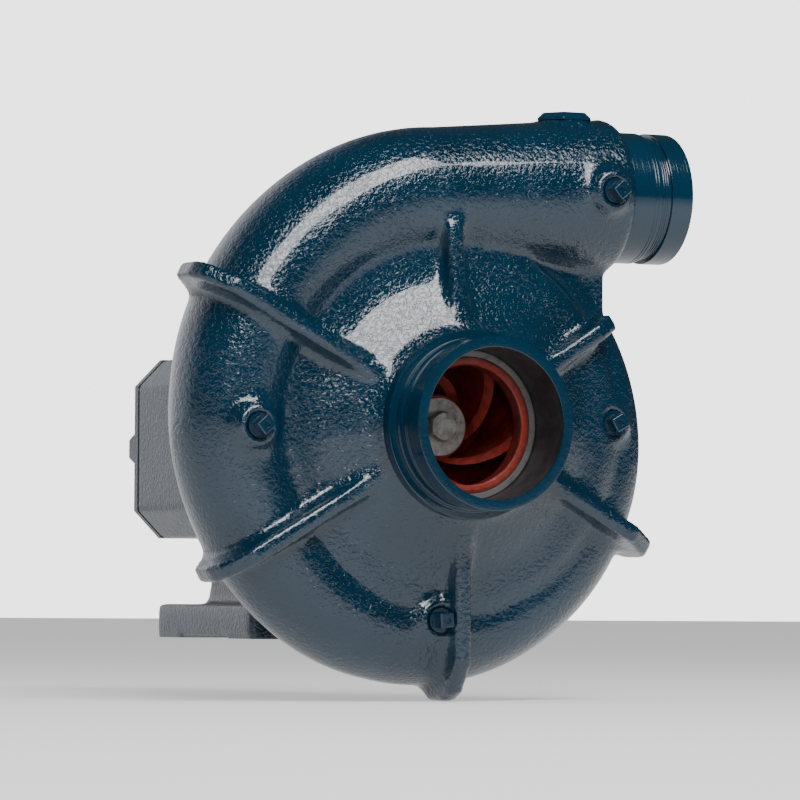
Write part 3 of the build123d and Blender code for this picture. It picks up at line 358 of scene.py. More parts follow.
def around_shaft():
    """Copies of the piece, spaced evenly round an axis along Y."""
    tree = Arrangement("around_shaft", centre=(0.0, 0.0, 0.0), count=8, circle_radius=0.1, first_angle=0.0)
    radius = tree.node("ShaderNodeCombineXYZ", {}, {"X": tree.input("Circle radius")})
    template = tree.node("GeometryNodeTransform", {},
                         {"Geometry": tree.input("Geometry"), "Translation": radius})
    points = tree.node("GeometryNodePoints", {},
                       {"Count": tree.input("Count"), "Position": tree.input("Centre")})
    index = tree.node("GeometryNodeInputIndex", {}, {})
    angle = index * (2 * math.pi) / tree.input("Count") + tree.input("First angle")
    turn = tree.node("ShaderNodeCombineXYZ", {}, {"Y": angle})
    return tree.close(tree.node("GeometryNodeInstanceOnPoints", {},
                                {"Points": points, "Instance": template, "Rotation": turn}))


def at_places():
    """One copy of a template object at each point of the piece, turned the same way."""
    tree = Arrangement("at_places", turn=(0.0, 0.0, 0.0))
    socket = tree.tree.interface.new_socket("Template", in_out="INPUT", socket_type="NodeSocketObject")
    tree.sockets["Template"] = socket
    template = tree.node("GeometryNodeObjectInfo", {}, {"Object": tree.input("Template")}, "Geometry")
    return tree.close(tree.node("GeometryNodeInstanceOnPoints", {},
                                {"Points": tree.input("Geometry"), "Instance": template,
                                 "Rotation": tree.input("Turn")}))


def coil_spring():
    """Round wire wound in an even coil along Y."""
    tree = Arrangement("coil_spring", centre=(0.0, 0.0, 0.0), turns=3.0, coil_radius=0.02,
                       wire_radius=0.001, length=0.01)
    radius = tree.input("Coil radius")
    spiral = tree.node("GeometryNodeCurveSpiral", {},
                       {"Resolution": 40, "Rotations": tree.input("Turns"), "Start Radius": radius,
                        "End Radius": radius, "Height": tree.input("Length")})
    wire = tree.node("GeometryNodeCurvePrimitiveCircle", {},
                     {"Resolution": 12, "Radius": tree.input("Wire radius")})
    coil = tree.node("GeometryNodeCurveToMesh", {},
                     {"Curve": spiral, "Profile Curve": wire, "Fill Caps": True})
    return tree.close(tree.node("GeometryNodeTransform", {},
                                {"Geometry": coil, "Translation": tree.input("Centre"),
                                 "Rotation": (-math.pi / 2, 0.0, 0.0)}))


# Finishes

def shaded(colour, amount):
    """The colour, darker or lighter."""
    return tuple(channel * amount for channel in colour)


def enamel_on_casting(name, colours, grain):
    """Thick gloss enamel over a rough sand casting: pebbled, pitted, and levelled where it pooled."""
    finish = Finish(name, Coat_Weight=0.5, Coat_Roughness=0.05, IOR=1.5)
    pebbles = finish.noise(3.0 * MM, 2.0, 0.5, 0.5)
    pools = finish.noise(34 * MM, 2.0, 0.5).ramp(0.42, 0.66)
    swell = finish.noise(13 * MM, 2.0)
    specks = finish.cells(8 * MM, 0.1).ramp(0.12, 0.06)
    pits = finish.noise(2.8 * MM, 1.0, 0.5, 0.6).ramp(0.50, 0.40)
    height = pebbles * (1.0 - 0.35 * pools) + swell * 0.35 - pits * 0.13 - specks * 0.25
    tone = finish.noise(60 * MM, 3.0).ramp(0.3, 0.7)
    base = finish.mix(tone, shaded(colours.enamel, 0.75), tuple(colours.enamel))
    # The base colour is darker in the pits: painted shade in the hollows.
    finish.set("Base Color", finish.mix(pits * 0.15, base, shaded(colours.enamel, 0.5)))
    finish.set("Roughness", 0.05 + 0.07 * finish.noise(9 * MM, 3.0))
    finish.bump(height, grain)
    return finish.material


def enamel_machined(name, colours, along="Y", depth=0.05 * MM):
    """The same enamel over turned faces: smooth, with turning marks that show through and specks."""
    finish = Finish(name, Coat_Weight=0.4, Coat_Roughness=0.06, IOR=1.5)
    tone = finish.noise(30 * MM, 3.0).ramp(0.3, 0.7)
    finish.set("Base Color", finish.mix(tone, shaded(colours.enamel, 0.85), tuple(colours.enamel)))
    stretch = {"X": (650, 4, 4), "Y": (4, 650, 4), "Z": (4, 4, 650)}[along]
    marks = finish.noise(1.0, 3.0, 0.6, 0.0, finish.stretched(*stretch)).ramp(0.35, 0.62)
    orange_peel = finish.noise(2.6 * MM, 2.0)
    specks = finish.cells(5 * MM, 0.1).ramp(0.10, 0.03)
    finish.set("Roughness", 0.13 + 0.08 * finish.noise(12 * MM, 3.0))
    finish.bump(marks + orange_peel * 0.8 + specks, depth)
    return finish.material


def enamel_on_frame(name, colours):
    """Enamel on the bearing housing: finer sand texture, duller and greyer, with a few dark marks."""
    finish = Finish(name, Coat_Weight=0.3, Coat_Roughness=0.14, IOR=1.5)
    sand = finish.noise(2.4 * MM, 2.0, 0.5, 0.5)
    swell = finish.noise(26 * MM, 2.0)
    tone = finish.noise(50 * MM, 3.0).ramp(0.3, 0.7)
    marks = finish.noise(14 * MM, 1.0).ramp(0.74, 0.80)
    bloom = finish.mix(tone, shaded(colours.frame, 0.80), tuple(colours.frame))
    finish.set("Base Color", finish.mix(marks * 0.6, bloom, (0.010, 0.012, 0.014)))
    finish.set("Roughness", 0.24 + 0.14 * finish.noise(9 * MM, 3.0))
    finish.bump(sand.ramp(0.3, 0.72) + swell * 0.8, 0.45 * MM)
    return finish.material


def red_primer(name, colours):
    """Brushed red primer over cast iron, in blotches, with a painted highlight on convex edges."""
    finish = Finish(name, Coat_Weight=0.25, Coat_Roughness=0.2)
    brush = finish.noise(2.0 * MM, 3.0, 0.6, 0.6)
    blotch = finish.noise(11 * MM, 4.0).ramp(0.35, 0.68)
    edge_highlight = finish.edges().ramp(0.53, 0.60)
    base = finish.mix(blotch, shaded(colours.primer, 0.5), tuple(colours.primer))
    # Convex edges are mixed toward a brighter red: a painted highlight.
    finish.set("Base Color", finish.mix(edge_highlight * 0.6, base, (0.28, 0.032, 0.018)))
    finish.set("Roughness", 0.30 + 0.22 * brush)
    finish.bump(brush + blotch * 0.8, 0.30 * MM)
    return finish.material


def machined_metal(name, colour, metallic, roughness):
    """Metal turned on the shaft's axis: fine rings, stains and light wear."""
    finish = Finish(name, Metallic=metallic)
    rings = finish.noise(1.0, 2.0, 0.5, 0.0, finish.stretched(20, 900, 20))
    stain = finish.noise(9 * MM, 5.0, 0.6, 0.4).ramp(0.46, 0.70)
    finish.set("Base Color", finish.mix(stain * 0.7, tuple(colour), shaded(colour, 0.45)))
    finish.set("Roughness", roughness + 0.16 * rings + 0.14 * stain)
    finish.bump(rings, 0.06 * MM)
    return finish.material


def cast_iron_bore(name):
    """The unpainted water way: dark grey iron, stained in patches."""
    finish = Finish(name, Metallic=0.2)
    sand = finish.noise(1.6 * MM, 3.0, 0.6)
    stain = finish.noise(16 * MM, 4.0, 0.6, 0.5).ramp(0.35, 0.70)
    finish.set("Base Color", finish.mix(stain, (0.012, 0.012, 0.015), (0.030, 0.030, 0.033)))
    finish.set("Roughness", 0.34 + 0.2 * sand)
    finish.bump(sand, 0.12 * MM)
    return finish.material


def plated_steel(name, colour):
    """Zinc-plated washer and bolt: dulled, spotted with rust and scratched."""
    finish = Finish(name, Metallic=0.8)
    cloud = finish.noise(5 * MM, 4.0, 0.6).ramp(0.35, 0.70)
    spots = finish.cells(2.4 * MM, 0.2).ramp(0.18, 0.05)
    scratch = finish.noise(1.0, 2.0, 0.5, 0.2, finish.stretched(120, 900, 1500)).ramp(0.62, 0.70)
    base = finish.mix(cloud, tuple(colour), shaded(colour, 0.55))
    finish.set("Base Color", finish.mix(spots * 0.8, base, (0.09, 0.055, 0.035)))
    finish.set("Roughness", 0.36 + 0.20 * cloud - 0.10 * scratch)
    finish.bump(cloud * 0.5 + scratch * 0.3 - spots, 0.05 * MM)
    return finish.material


def black_rubber(name, tone=0.014, roughness=0.62):
    """Gasket sheet and rubber: near black, faintly mottled."""
    finish = Finish(name)
    mottle = finish.noise(3 * MM, 3.0)
    finish.set("Base Color", finish.mix(mottle, (tone * 0.6,) * 3, (tone * 1.6,) * 3))
    finish.set("Roughness", roughness + 0.15 * mottle)
    finish.bump(mottle, 0.08 * MM)
    return finish.material


def polished(name, colour, metallic, roughness):
    """Ground inner pieces: bearings, ceramic and carbon rings."""
    finish = Finish(name, Metallic=metallic)
    haze = finish.noise(7 * MM, 3.0)
    finish.set("Base Color", finish.mix(haze, shaded(colour, 0.85), colour))
    finish.set("Roughness", roughness + 0.08 * haze)
    finish.bump(finish.noise(0.8 * MM, 2.0), 0.01 * MM)
    return finish.material


def pale_floor(name, colour):
    """The studio floor: pale and matt, with an even glow of its own and barely seen cloudiness."""
    finish = Finish(name, Emission_Color=(1.0, 1.0, 1.0), Emission_Strength=0.55)
    cloud = finish.noise(0.4, 3.0)
    finish.set("Base Color", finish.mix(cloud, shaded(colour, 0.98), tuple(colour)))
    finish.set("Roughness", 0.75 + 0.1 * cloud)
    return finish.material


# Mesh helpers

def add_object(name, mesh):
    """An object for a mesh, in the scene."""
    piece = bpy.data.objects.new(name, mesh)
    bpy.context.scene.collection.objects.link(piece)
    return piece


def shade(mesh, angle=35.0):
    """Smooth shading with creases kept at corners sharper than an angle."""
    mesh.shade_smooth()
    mesh.set_sharp_from_angle(angle=math.radians(angle))


@contextlib.contextmanager
def edited(mesh):
    """The mesh as a bmesh form, written back at the end."""
    form = bmesh.new()
    form.from_mesh(mesh)
    yield form
    form.to_mesh(mesh)
    form.free()


def merged_copy(node, name):
    """A welded copy of a CAD node's mesh."""
    mesh = frame["nodes"][node].data.copy()
    mesh.name = name
    with edited(mesh) as form:
        bmesh.ops.remove_doubles(form, verts=form.verts, dist=WELD)
        bmesh.ops.dissolve_degenerate(form, edges=form.edges, dist=WELD)
    mesh.materials.clear()
    for layer in ("custom_normal", "sharp_edge"):
        if layer in mesh.attributes:
            mesh.attributes.remove(mesh.attributes[layer])
    return add_object(name, mesh)


def applied(piece):
    """Turns the piece with its modifiers into a plain mesh."""
    bpy.context.view_layer.update()
    graph = bpy.context.evaluated_depsgraph_get()
    mesh = bpy.data.meshes.new_from_object(piece.evaluated_get(graph))
    old = piece.data
    piece.modifiers.clear()
    piece.data = mesh
    if old.users == 0:
        bpy.data.meshes.remove(old)
    return piece


def paint(piece, *materials):
    """Gives the piece its materials, the main one first."""
    piece.data.materials.clear()
    for material in materials:
        piece.data.materials.append(material)


def dress(piece, body, slot, *nodes):
    """Puts a finished piece on its body in place of the CAD nodes that it stands for."""
    DRESSED.update(nodes)
    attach(piece, body)
    if nodes:
        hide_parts(*nodes)
    return piece


class Axle:
    """An axis that turned pieces are built round."""

    def __init__(self, origin, along):
        self.origin = Vector(origin)
        self.along = Vector(along).normalized()
        helper = Vector((0, 0, 1)) if abs(self.along.z) < 0.9 else Vector((1, 0, 0))
        self.across = helper.cross(self.along).normalized()
        self.up = self.along.cross(self.across)

    def point(self, radius, along, angle):
        """A point by its distance from the axis, its place along it and its angle round it."""
        return (self.origin + self.along * along
                + (self.across * math.cos(angle) + self.up * math.sin(angle)) * radius)


# The shaft, the discharge from its mouth inward, and the axis that templates are turned on
SHAFT = Axle((0, 0, SHAFT_Z), (0, 1, 0))
DISCHARGE = Axle((0, PLANE_Y, DISCHARGE_Z), (-1, 0, 0))
LATHE = Axle((0, 0, 0), (0, 1, 0))


def softened(profile, size):
    """The profile with each corner cut by a small two-step round."""
    result = []
    count = len(profile)
    for i, here in enumerate(profile):
        here = Vector(here)
        before = Vector(profile[i - 1]) - here
        after = Vector(profile[(i + 1) % count]) - here
        reach = min(size, before.length * 0.45, after.length * 0.45)
        first = here + before.normalized() * reach
        last = here + after.normalized() * reach
        between = (first + last) / 2 * 0.4 + here * 0.6
        result += [first, between, last]
    return result


def flats(count, across, low, high=1.0):
    """A rule that cuts flats, across metres apart, into the round of a piece between two radii."""
    def cut(radius, angle):
        if not low <= radius <= high:
            return radius
        step = 2 * math.pi / count
        return min(radius, across / 2 / math.cos((angle + step / 2) % step - step / 2))
    return cut


def turned(name, axle, profile, segments, soften=0.3 * MM, cuts=()):
    """A piece turned from a closed (radius, along) profile, with flats cut where asked."""
    points = softened(profile, soften)
    verts, faces = [], []
    count = len(points)
    for step in range(segments):
        angle = 2 * math.pi * step / segments
        for radius, along in points:
            for cut in cuts:
                radius = cut(radius, angle)
            verts.append(axle.point(radius, along, angle))
        for i in range(count):
            j = (i + 1) % count
            here, there = step * count, (step + 1) % segments * count
            faces.append((here + i, here + j, there + j, there + i))
    mesh = bpy.data.meshes.new(name)
    mesh.from_pydata(verts, [], faces)
    with edited(mesh) as form:
        bmesh.ops.remove_doubles(form, verts=form.verts, dist=0.001 * MM)
        bmesh.ops.recalc_face_normals(form, faces=form.faces)
    shade(mesh, 30)
    return crisp(add_object(name, mesh))


def crisp(piece):
    """Keeps wide faces flat in the shading beside their narrow bevels."""
    even = piece.modifiers.new("even", "WEIGHTED_NORMAL")
    even.keep_sharp = True
    return applied(piece)


def cutter(axle, radius, start, end):
    """A plain bar used to cut a casting, then removed."""
    core = 0.0001 * MM
    return turned("cutter", axle, [(core, start), (radius, start), (radius, end), (core, end)], 96, 0.0)


def flow(mesh, rounds, movable, hollows_only):
    """Lets a skin settle like poured metal: each point moves toward its neighbours' middle."""
    count = len(mesh.vertices)
    points = numpy.empty(count * 3)
    mesh.vertices.foreach_get("co", points)
    points = points.reshape(-1, 3)
    normals = numpy.empty(count * 3)
    mesh.vertices.foreach_get("normal", normals)
    normals = normals.reshape(-1, 3)
    ends = numpy.empty(len(mesh.edges) * 2, dtype=numpy.int64)
    mesh.edges.foreach_get("vertices", ends)
    first, second = ends[0::2], ends[1::2]
    degree = numpy.bincount(ends, minlength=count).clip(1)[:, None]
    free = movable(points)
    for _ in range(rounds):
        total = numpy.stack([numpy.bincount(first, points[second, i], count)
                             + numpy.bincount(second, points[first, i], count) for i in range(3)], axis=1)
        shift = total / degree - points
        weight = free * 0.5
        if hollows_only:
            weight = weight * ((shift * normals).sum(axis=1) > 0)
        points = points + shift * weight[:, None]
    mesh.vertices.foreach_set("co", points.ravel())
    mesh.update()


def cast_skin(name, node, cutters, sizes, movable):
    """A casting's skin: the CAD shape, remeshed, with filled hollows and eased edges where it may move."""
    piece = merged_copy(node, name)
    for tool in cutters:
        cut = piece.modifiers.new("cut", "BOOLEAN")
        cut.operation = "DIFFERENCE"
        cut.solver = "EXACT"
        cut.object = tool
    remesh = piece.modifiers.new("skin", "REMESH")
    remesh.mode = "VOXEL"
    remesh.voxel_size = sizes.voxel
    applied(piece)
    flow(piece.data, sizes.fillet_rounds, movable, True)
    flow(piece.data, sizes.edge_rounds, movable, False)
    for tool in cutters:
        bpy.data.objects.remove(tool)
    piece.data.shade_smooth()
    return piece


def split_outside(piece, is_rim, name):
    """Parts a skin in two at its rims: the piece keeps the outside, a new piece gets the inside."""
    form = bmesh.new()
    form.from_mesh(piece.data)
    form.faces.ensure_lookup_table()
    rims = {face.index for face in form.faces if is_rim(face.calc_center_median(), face.normal)}
    start = min(form.faces, key=lambda face: face.calc_center_median().z)
    outside, front = {start.index}, [start]
    while front:
        face = front.pop()
        for edge in face.edges:
            for other in edge.link_faces:
                if other.index not in outside and other.index not in rims:
                    outside.add(other.index)
                    front.append(other)
    inner_form = form.copy()
    inner_form.faces.ensure_lookup_table()
    bmesh.ops.delete(inner_form, geom=[inner_form.faces[i] for i in outside], context="FACES")
    inner = bpy.data.meshes.new(name)
    inner_form.to_mesh(inner)
    bmesh.ops.delete(form, geom=[face for face in form.faces if face.index not in outside], context="FACES")
    form.to_mesh(piece.data)
    form.free()
    inner_form.free()
    inner.shade_smooth()
    return add_object(name, inner)


def bevelled(node, width, crease=30):
    """A welded copy of a CAD node with its sharp edges bevelled."""
    piece = merged_copy(node, node + "_finished")
    with edited(piece.data) as form:
        bmesh.ops.dissolve_limit(form, angle_limit=math.radians(3), verts=form.verts, edges=form.edges)
    bevel = piece.modifiers.new("edges", "BEVEL")
    bevel.width = width
    bevel.segments = 2
    bevel.limit_method = "ANGLE"
    bevel.angle_limit = math.radians(crease)
    applied(piece)
    shade(piece.data, crease)
    return crisp(piece)


def centres(node):
    """The middle of each loose solid of a CAD node, lowest first."""
    piece = merged_copy(node, "solids")
    form = bmesh.new()
    form.from_mesh(piece.data)
    left, found = set(form.verts), []
    while left:
        seed = left.pop()
        solid, front = [seed], [seed]
        while front:
            for edge in front.pop().link_edges:
                for vert in edge.verts:
                    if vert in left:
                        left.remove(vert)
                        solid.append(vert)
                        front.append(vert)
        low = Vector([min(vert.co[i] for vert in solid) for i in range(3)])
        high = Vector([max(vert.co[i] for vert in solid) for i in range(3)])
        found.append((low + high) / 2)
    form.free()
    bpy.data.objects.remove(piece)
    return sorted(found, key=lambda point: (point.z, point.x))


def dots(name, places):
    """A piece of loose points for an arrangement to build on."""
    mesh = bpy.data.meshes.new(name)
    mesh.from_pydata(places, [], [])
    return add_object(name, mesh)


# Operators

class StagePump(bpy.types.Operator):
    """Lays the floor, hangs the lights and sets the camera of the photograph"""
    bl_idname = "pump.stage"
    bl_label = "Stage"

    def execute(self, context):
        self.floor(context)
        self.lights(context)
        self.camera(context)
        return {"FINISHED"}

    def floor(self, context):
        corners = [(x * FLOOR_REACH, y * FLOOR_REACH, LOWEST_Z - FLOOR_GAP)
                   for x, y in ((-1, -1), (1, -1), (1, 1), (-1, 1))]
        mesh = bpy.data.meshes.new("floor")
        mesh.from_pydata(corners, [], [(0, 1, 2, 3)])
        mesh.materials.append(pale_floor("studio_floor", context.scene.pump_colours.floor))
        add_object("floor", mesh)

    def lights(self, context):
        """A room that is dark behind the camera and pale behind the pump, and large soft boxes."""
        world = bpy.data.worlds.new("studio")
        context.scene.world = world
        world.use_nodes = True
        room = NodeWork(world.node_tree)
        background = world.node_tree.nodes["Background"]
        direction = room.node("ShaderNodeTexCoord", {}, {}, "Generated")
        facing = room.node("ShaderNodeVectorMath", {"operation": "DOT_PRODUCT"},
                           {0: direction, 1: (-0.45, 0.89, 0.0)}, "Value")
        glow = room.mix(facing.ramp(0.5, 0.95), (0.04, 0.041, 0.045), (1.35, 1.35, 1.4))
        seen = room.node("ShaderNodeLightPath", {}, {}, "Is Camera Ray")
        room.plug(background.inputs["Color"], room.mix(seen, glow, (3.0, 3.0, 3.0)))
        # Place, direction of the length, length, width and power of each box
        boxes = {
            "main": ((-0.17, -1.75, 1.85), (1.9, 0.8, 1.0), 2.3, 0.85, 88.0),
            "overhead_fill": ((0.1, -0.2, 2.3), (1.0, 0.0, 0.0), 1.5, 1.2, 14.0),
            "front_fill": ((-1.3, -2.9, 0.55), (1.0, 0.0, 0.0), 1.0, 1.0, 26.0),
            "right_fill": ((2.4, -1.1, 1.2), (0.0, 0.0, 1.0), 0.8, 0.5, 5.0),
        }
        target = Vector((0, PLANE_Y, SHAFT_Z))
        for name, (place, along, length, width, power) in boxes.items():
            lamp = bpy.data.lights.new(name, "AREA")
            lamp.shape = "RECTANGLE"
            lamp.size, lamp.size_y, lamp.energy = length, width, power
            box = bpy.data.objects.new(name, lamp)
            context.scene.collection.objects.link(box)
            box.visible_glossy = not name.endswith("fill")
            outward = (Vector(place) - target).normalized()
            across = outward.cross(Vector(along)).normalized()
            turn = Matrix((across.cross(outward), across, outward)).transposed().to_4x4()
            box.matrix_world = Matrix.Translation(place) @ turn

    def camera(self, context):
        """The photograph's camera, aimed from the middle of the suction mouth."""
        shot = context.scene.pump_camera
        turn, rise = shot.azimuth, shot.elevation
        back = Vector((math.sin(turn) * math.cos(rise), -math.cos(turn) * math.cos(rise), math.sin(rise)))
        right = Vector((math.cos(turn), math.sin(turn), 0.0))
        up = back.cross(right)
        across = right * math.cos(shot.roll) + up * math.sin(shot.roll)
        above = up * math.cos(shot.roll) - right * math.sin(shot.roll)
        basis = Matrix((across, above, back)).transposed().to_4x4()
        aim = Matrix.Rotation(shot.pan, 4, "Y") @ Matrix.Rotation(shot.tilt, 4, "X")
        data = bpy.data.cameras.new("photo_camera")
        data.lens = shot.lens
        data.sensor_width = 36.0
        data.clip_end = 100.0
        camera = bpy.data.objects.new("photo_camera", data)
        context.scene.collection.objects.link(camera)
        mouth = Vector((0, MOUTH_Y, SHAFT_Z))
        camera.matrix_world = Matrix.Translation(mouth + back * shot.distance) @ basis @ aim
        context.scene.camera = camera


class DressCasing(bpy.types.Operator):
    """Builds the cast skin of the volute casing, its water way and its two machined pipe ends"""
    bl_idname = "pump.casing"
    bl_label = "Casing"

    def execute(self, context):
        sizes, colours = context.scene.pump_sizes, context.scene.pump_colours
        cast = enamel_on_casting("casting_enamel", colours, sizes.grain)
        suction_coat = enamel_machined("suction_enamel", colours, "Y", 0.11 * MM)
        discharge_coat = enamel_machined("discharge_enamel", colours, "X")
        bore = cast_iron_bore("bare_bore")
        self.body(sizes, cast, bore)
        self.pipe_end("suction_end", SHAFT, MOUTH_Y, (SUCTION_R, SUCTION_BORE_R), sizes.suction_groove,
                      SHOULDER_SETBACK, (SHOULDER_R, SHOULDER_WIDTH), sizes, (suction_coat, bore))
        self.pipe_end("discharge_end", DISCHARGE, -MOUTH_X, (DISCHARGE_R, DISCHARGE_BORE_R),
                      sizes.discharge_groove, DISCHARGE_BODY_SETBACK, (DISCHARGE_R, END_OVERLAP),
                      sizes, (discharge_coat, bore))
        return {"FINISHED"}

    def body(self, sizes, cast, bore):
        """The cast skin without its pipe ends, and the water way inside it."""
        neck_y = MOUTH_Y + SHOULDER_SETBACK + SHOULDER_WIDTH - NECK_OVERLAP
        outlet_x = MOUTH_X - DISCHARGE_BODY_SETBACK + OUTLET_OVERLAP
        tools = [cutter(SHAFT, NECK_CUT_R, MOUTH_Y - CUT_LEAD, neck_y),
                 cutter(DISCHARGE, OUTLET_CUT_R, -MOUTH_X - CUT_LEAD, -outlet_x)]

        def movable(points):
            """Faces that fit other pieces keep their shape."""
            radius = numpy.hypot(points[:, 0], points[:, 2] - SHAFT_Z)
            back = points[:, 1] > CASING_BACK_Y - CASING_JOINT_KEEP
            ring = (radius < SEAT_KEEP_R) & (points[:, 1] < RING_BACK_Y + SEAT_KEEP)
            return ~(back | ring)

        def is_rim(point, normal):
            """Faces that close the gap between the outside and the water way."""
            off_shaft = math.hypot(point.x, point.z - SHAFT_Z)
            off_discharge = math.hypot(point.y - PLANE_Y, point.z - DISCHARGE_Z)
            back = normal.y > FACING and point.y > CASING_BACK_Y - RIM_DEPTH
            neck = normal.y < -FACING and point.y < neck_y + RIM_DEPTH and off_shaft < NECK_RIM_R
            outlet = normal.x > FACING and point.x > outlet_x - RIM_DEPTH and off_discharge < OUTLET_RIM_R
            return back or neck or outlet

        skin = cast_skin("casing_body", "volute_casing", tools, sizes, movable)
        inside = split_outside(skin, is_rim, "water_way")
        paint(skin, cast)
        paint(inside, bore)
        dress(skin, "casing", "blue_paint", "volute_casing")
        dress(inside, "casing", "blue_paint")

    @staticmethod
    def scribed(radius, start, end, count):
        """Fine tool lines between two places on a turned face."""
        lines = []
        for i in range(count):
            along = start + (end - start) * (i + 0.5) / count
            lines += [(radius, along - TOOL_LINE_HALF), (radius - TOOL_LINE_DEPTH, along),
                      (radius, along + TOOL_LINE_HALF)]
        return lines

    def pipe_end(self, name, axle, mouth, radii, groove, root, shoulder, sizes, materials):
        """A grooved pipe end: lip, groove, land and the shoulder or overlap at its root."""
        radius, bore_r = radii
        shoulder_r, shoulder_width = shoulder
        groove_r = radius - sizes.groove_depth
        first, second = mouth + GROOVE_SETBACK, mouth + GROOVE_SETBACK + groove
        profile = [(bore_r, mouth), (radius, mouth), (radius, first), (groove_r, first)]
        profile += self.scribed(groove_r, first + 1.5 * MM, second - 1.5 * MM, 3)
        profile += [(groove_r, second), (radius, second)]
        profile += self.scribed(radius, second + 1.2 * MM, mouth + LAND_SETBACK - 0.6 * MM, 2)
        profile.append((radius, mouth + root))
        if shoulder_r > radius:
            profile.append((shoulder_r, mouth + root))
        profile += [(shoulder_r, mouth + root + shoulder_width), (bore_r, mouth + root + shoulder_width)]
        end = turned(name, axle, profile, sizes.segments, TURNED_EDGE)
        paint(end, *materials)
        for face in end.data.polygons:
            offset = face.center - axle.origin
            along = offset.dot(axle.along)
            radial = (offset - axle.along * along).length
            if radial < bore_r + 0.15 * MM and along > mouth + 1.0 * MM:
                face.material_index = 1
        dress(end, "casing", "blue_paint")


class DressImpeller(bpy.types.Operator):
    """Finishes the impeller, its washer and bolt, and the wear ring round its eye"""
    bl_idname = "pump.impeller"
    bl_label = "Impeller"

    def execute(self, context):
        colours, sizes = context.scene.pump_colours, context.scene.pump_sizes
        wheel = merged_copy("impeller", "impeller_wheel")
        shade(wheel.data, 32)
        paint(wheel, red_primer("impeller_primer", colours))
        dress(wheel, "rotor", "red_primer", "impeller")
        front, back = RING_FRONT_Y + LIP_SETBACK, RING_FRONT_Y + LIP_END
        lip = turned("eye_lip", SHAFT,
                     [(LIP_INNER_R, front), (LIP_R, front), (LIP_R, back), (LIP_INNER_R, back)],
                     sizes.segments, 0.6 * MM)
        paint(lip, wheel.data.materials[0])
        dress(lip, "rotor", "red_primer")
        self.wear_ring(colours, sizes)
        self.fastening(colours)
        return {"FINISHED"}

    def wear_ring(self, colours, sizes):
        """A narrow satin face and a step behind it, with the step and rim painted dark iron as painted shade
        of the gap round it.
        """
        step_y = RING_FRONT_Y + RING_STEP
        profile = [(RING_EYE_R, RING_FRONT_Y), (RING_FACE_R, RING_FRONT_Y),
                   (RING_STEP_R, RING_FRONT_Y + RING_CHAMFER), (RING_STEP_R, step_y),
                   (RING_R, step_y), (RING_R, RING_BACK_Y), (RING_EYE_R, RING_BACK_Y)]
        ring = turned("wear_ring_turned", SHAFT, profile, sizes.segments, 0.3 * MM)
        paint(ring, machined_metal("turned_ring", colours.iron, 0.6, 0.36), cast_iron_bore("ring_gap"))
        # Faces beyond the step's edge get the dark iron: painted shade of the gap round the ring.
        for face in ring.data.polygons:
            if math.hypot(face.center.x, face.center.z - SHAFT_Z) > RING_STEP_R - 0.4 * MM:
                face.material_index = 1
        dress(ring, "casing", "ring_steel", "wear_ring")

    def fastening(self, colours):
        """The washer and the hexagon bolt that hold the impeller on its shaft."""
        plating = plated_steel("plated_steel", colours.zinc)
        low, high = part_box("impeller_washer")
        seat, outer = low[1], (high[0] - low[0]) / 2
        washer = turned("washer", SHAFT,
                        [(WASHER_BORE_R, seat), (outer, seat), (outer, high[1]), (WASHER_BORE_R, high[1])],
                        96, 0.5 * MM)
        paint(washer, plating)
        dress(washer, "rotor", "zinc_steel", "impeller_washer")
        front, back = (corner[1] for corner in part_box("impeller_bolt"))
        point_r = BOLT_ACROSS / 2 / math.cos(math.pi / 6)
        profile = [(AXIS_R, front), (BOLT_ACROSS / 2 - 0.1 * MM, front), (point_r, front + BOLT_CHAMFER),
                   (point_r, seat), (BOLT_SHANK_R, seat), (BOLT_SHANK_R, back), (AXIS_R, back)]
        bolt = turned("centre_bolt", SHAFT, profile, 72, 0.2 * MM, [flats(6, BOLT_ACROSS, BOLT_SHANK_R)])
        paint(bolt, plating)
        dress(bolt, "rotor", "zinc_steel", "impeller_bolt")


class DressFrame(bpy.types.Operator):
    """Builds the cast skin of the bearing frame and finishes the rear cover and backplate"""
    bl_idname = "pump.frame"
    bl_label = "Bearing frame"

    def execute(self, context):
        sizes, colours = context.scene.pump_sizes, context.scene.pump_colours
        coat = enamel_on_frame("frame_enamel", colours)

        def movable(points):
            """Joint faces and foot pads keep their shape."""
            return ~((points[:, 1] > HOUSING_BACK_Y - HOUSING_JOINT_KEEP) | (points[:, 2] < SOLE_KEEP))

        skin = cast_skin("frame_body", "bearing_frame", [], sizes, movable)
        paint(skin, coat)
        dress(skin, "casing", "blue_paint", "bearing_frame")
        for node in ("rear_cover", "oil_drain_plug"):
            piece = bevelled(node, 0.8 * MM)
            paint(piece, coat)
            dress(piece, "casing", "blue_paint", node)
        plate = merged_copy("backplate", "backplate_finished")
        shade(plate.data)
        paint(plate, coat)
        dress(plate, "casing", "blue_paint", "backplate")
        return {"FINISHED"}


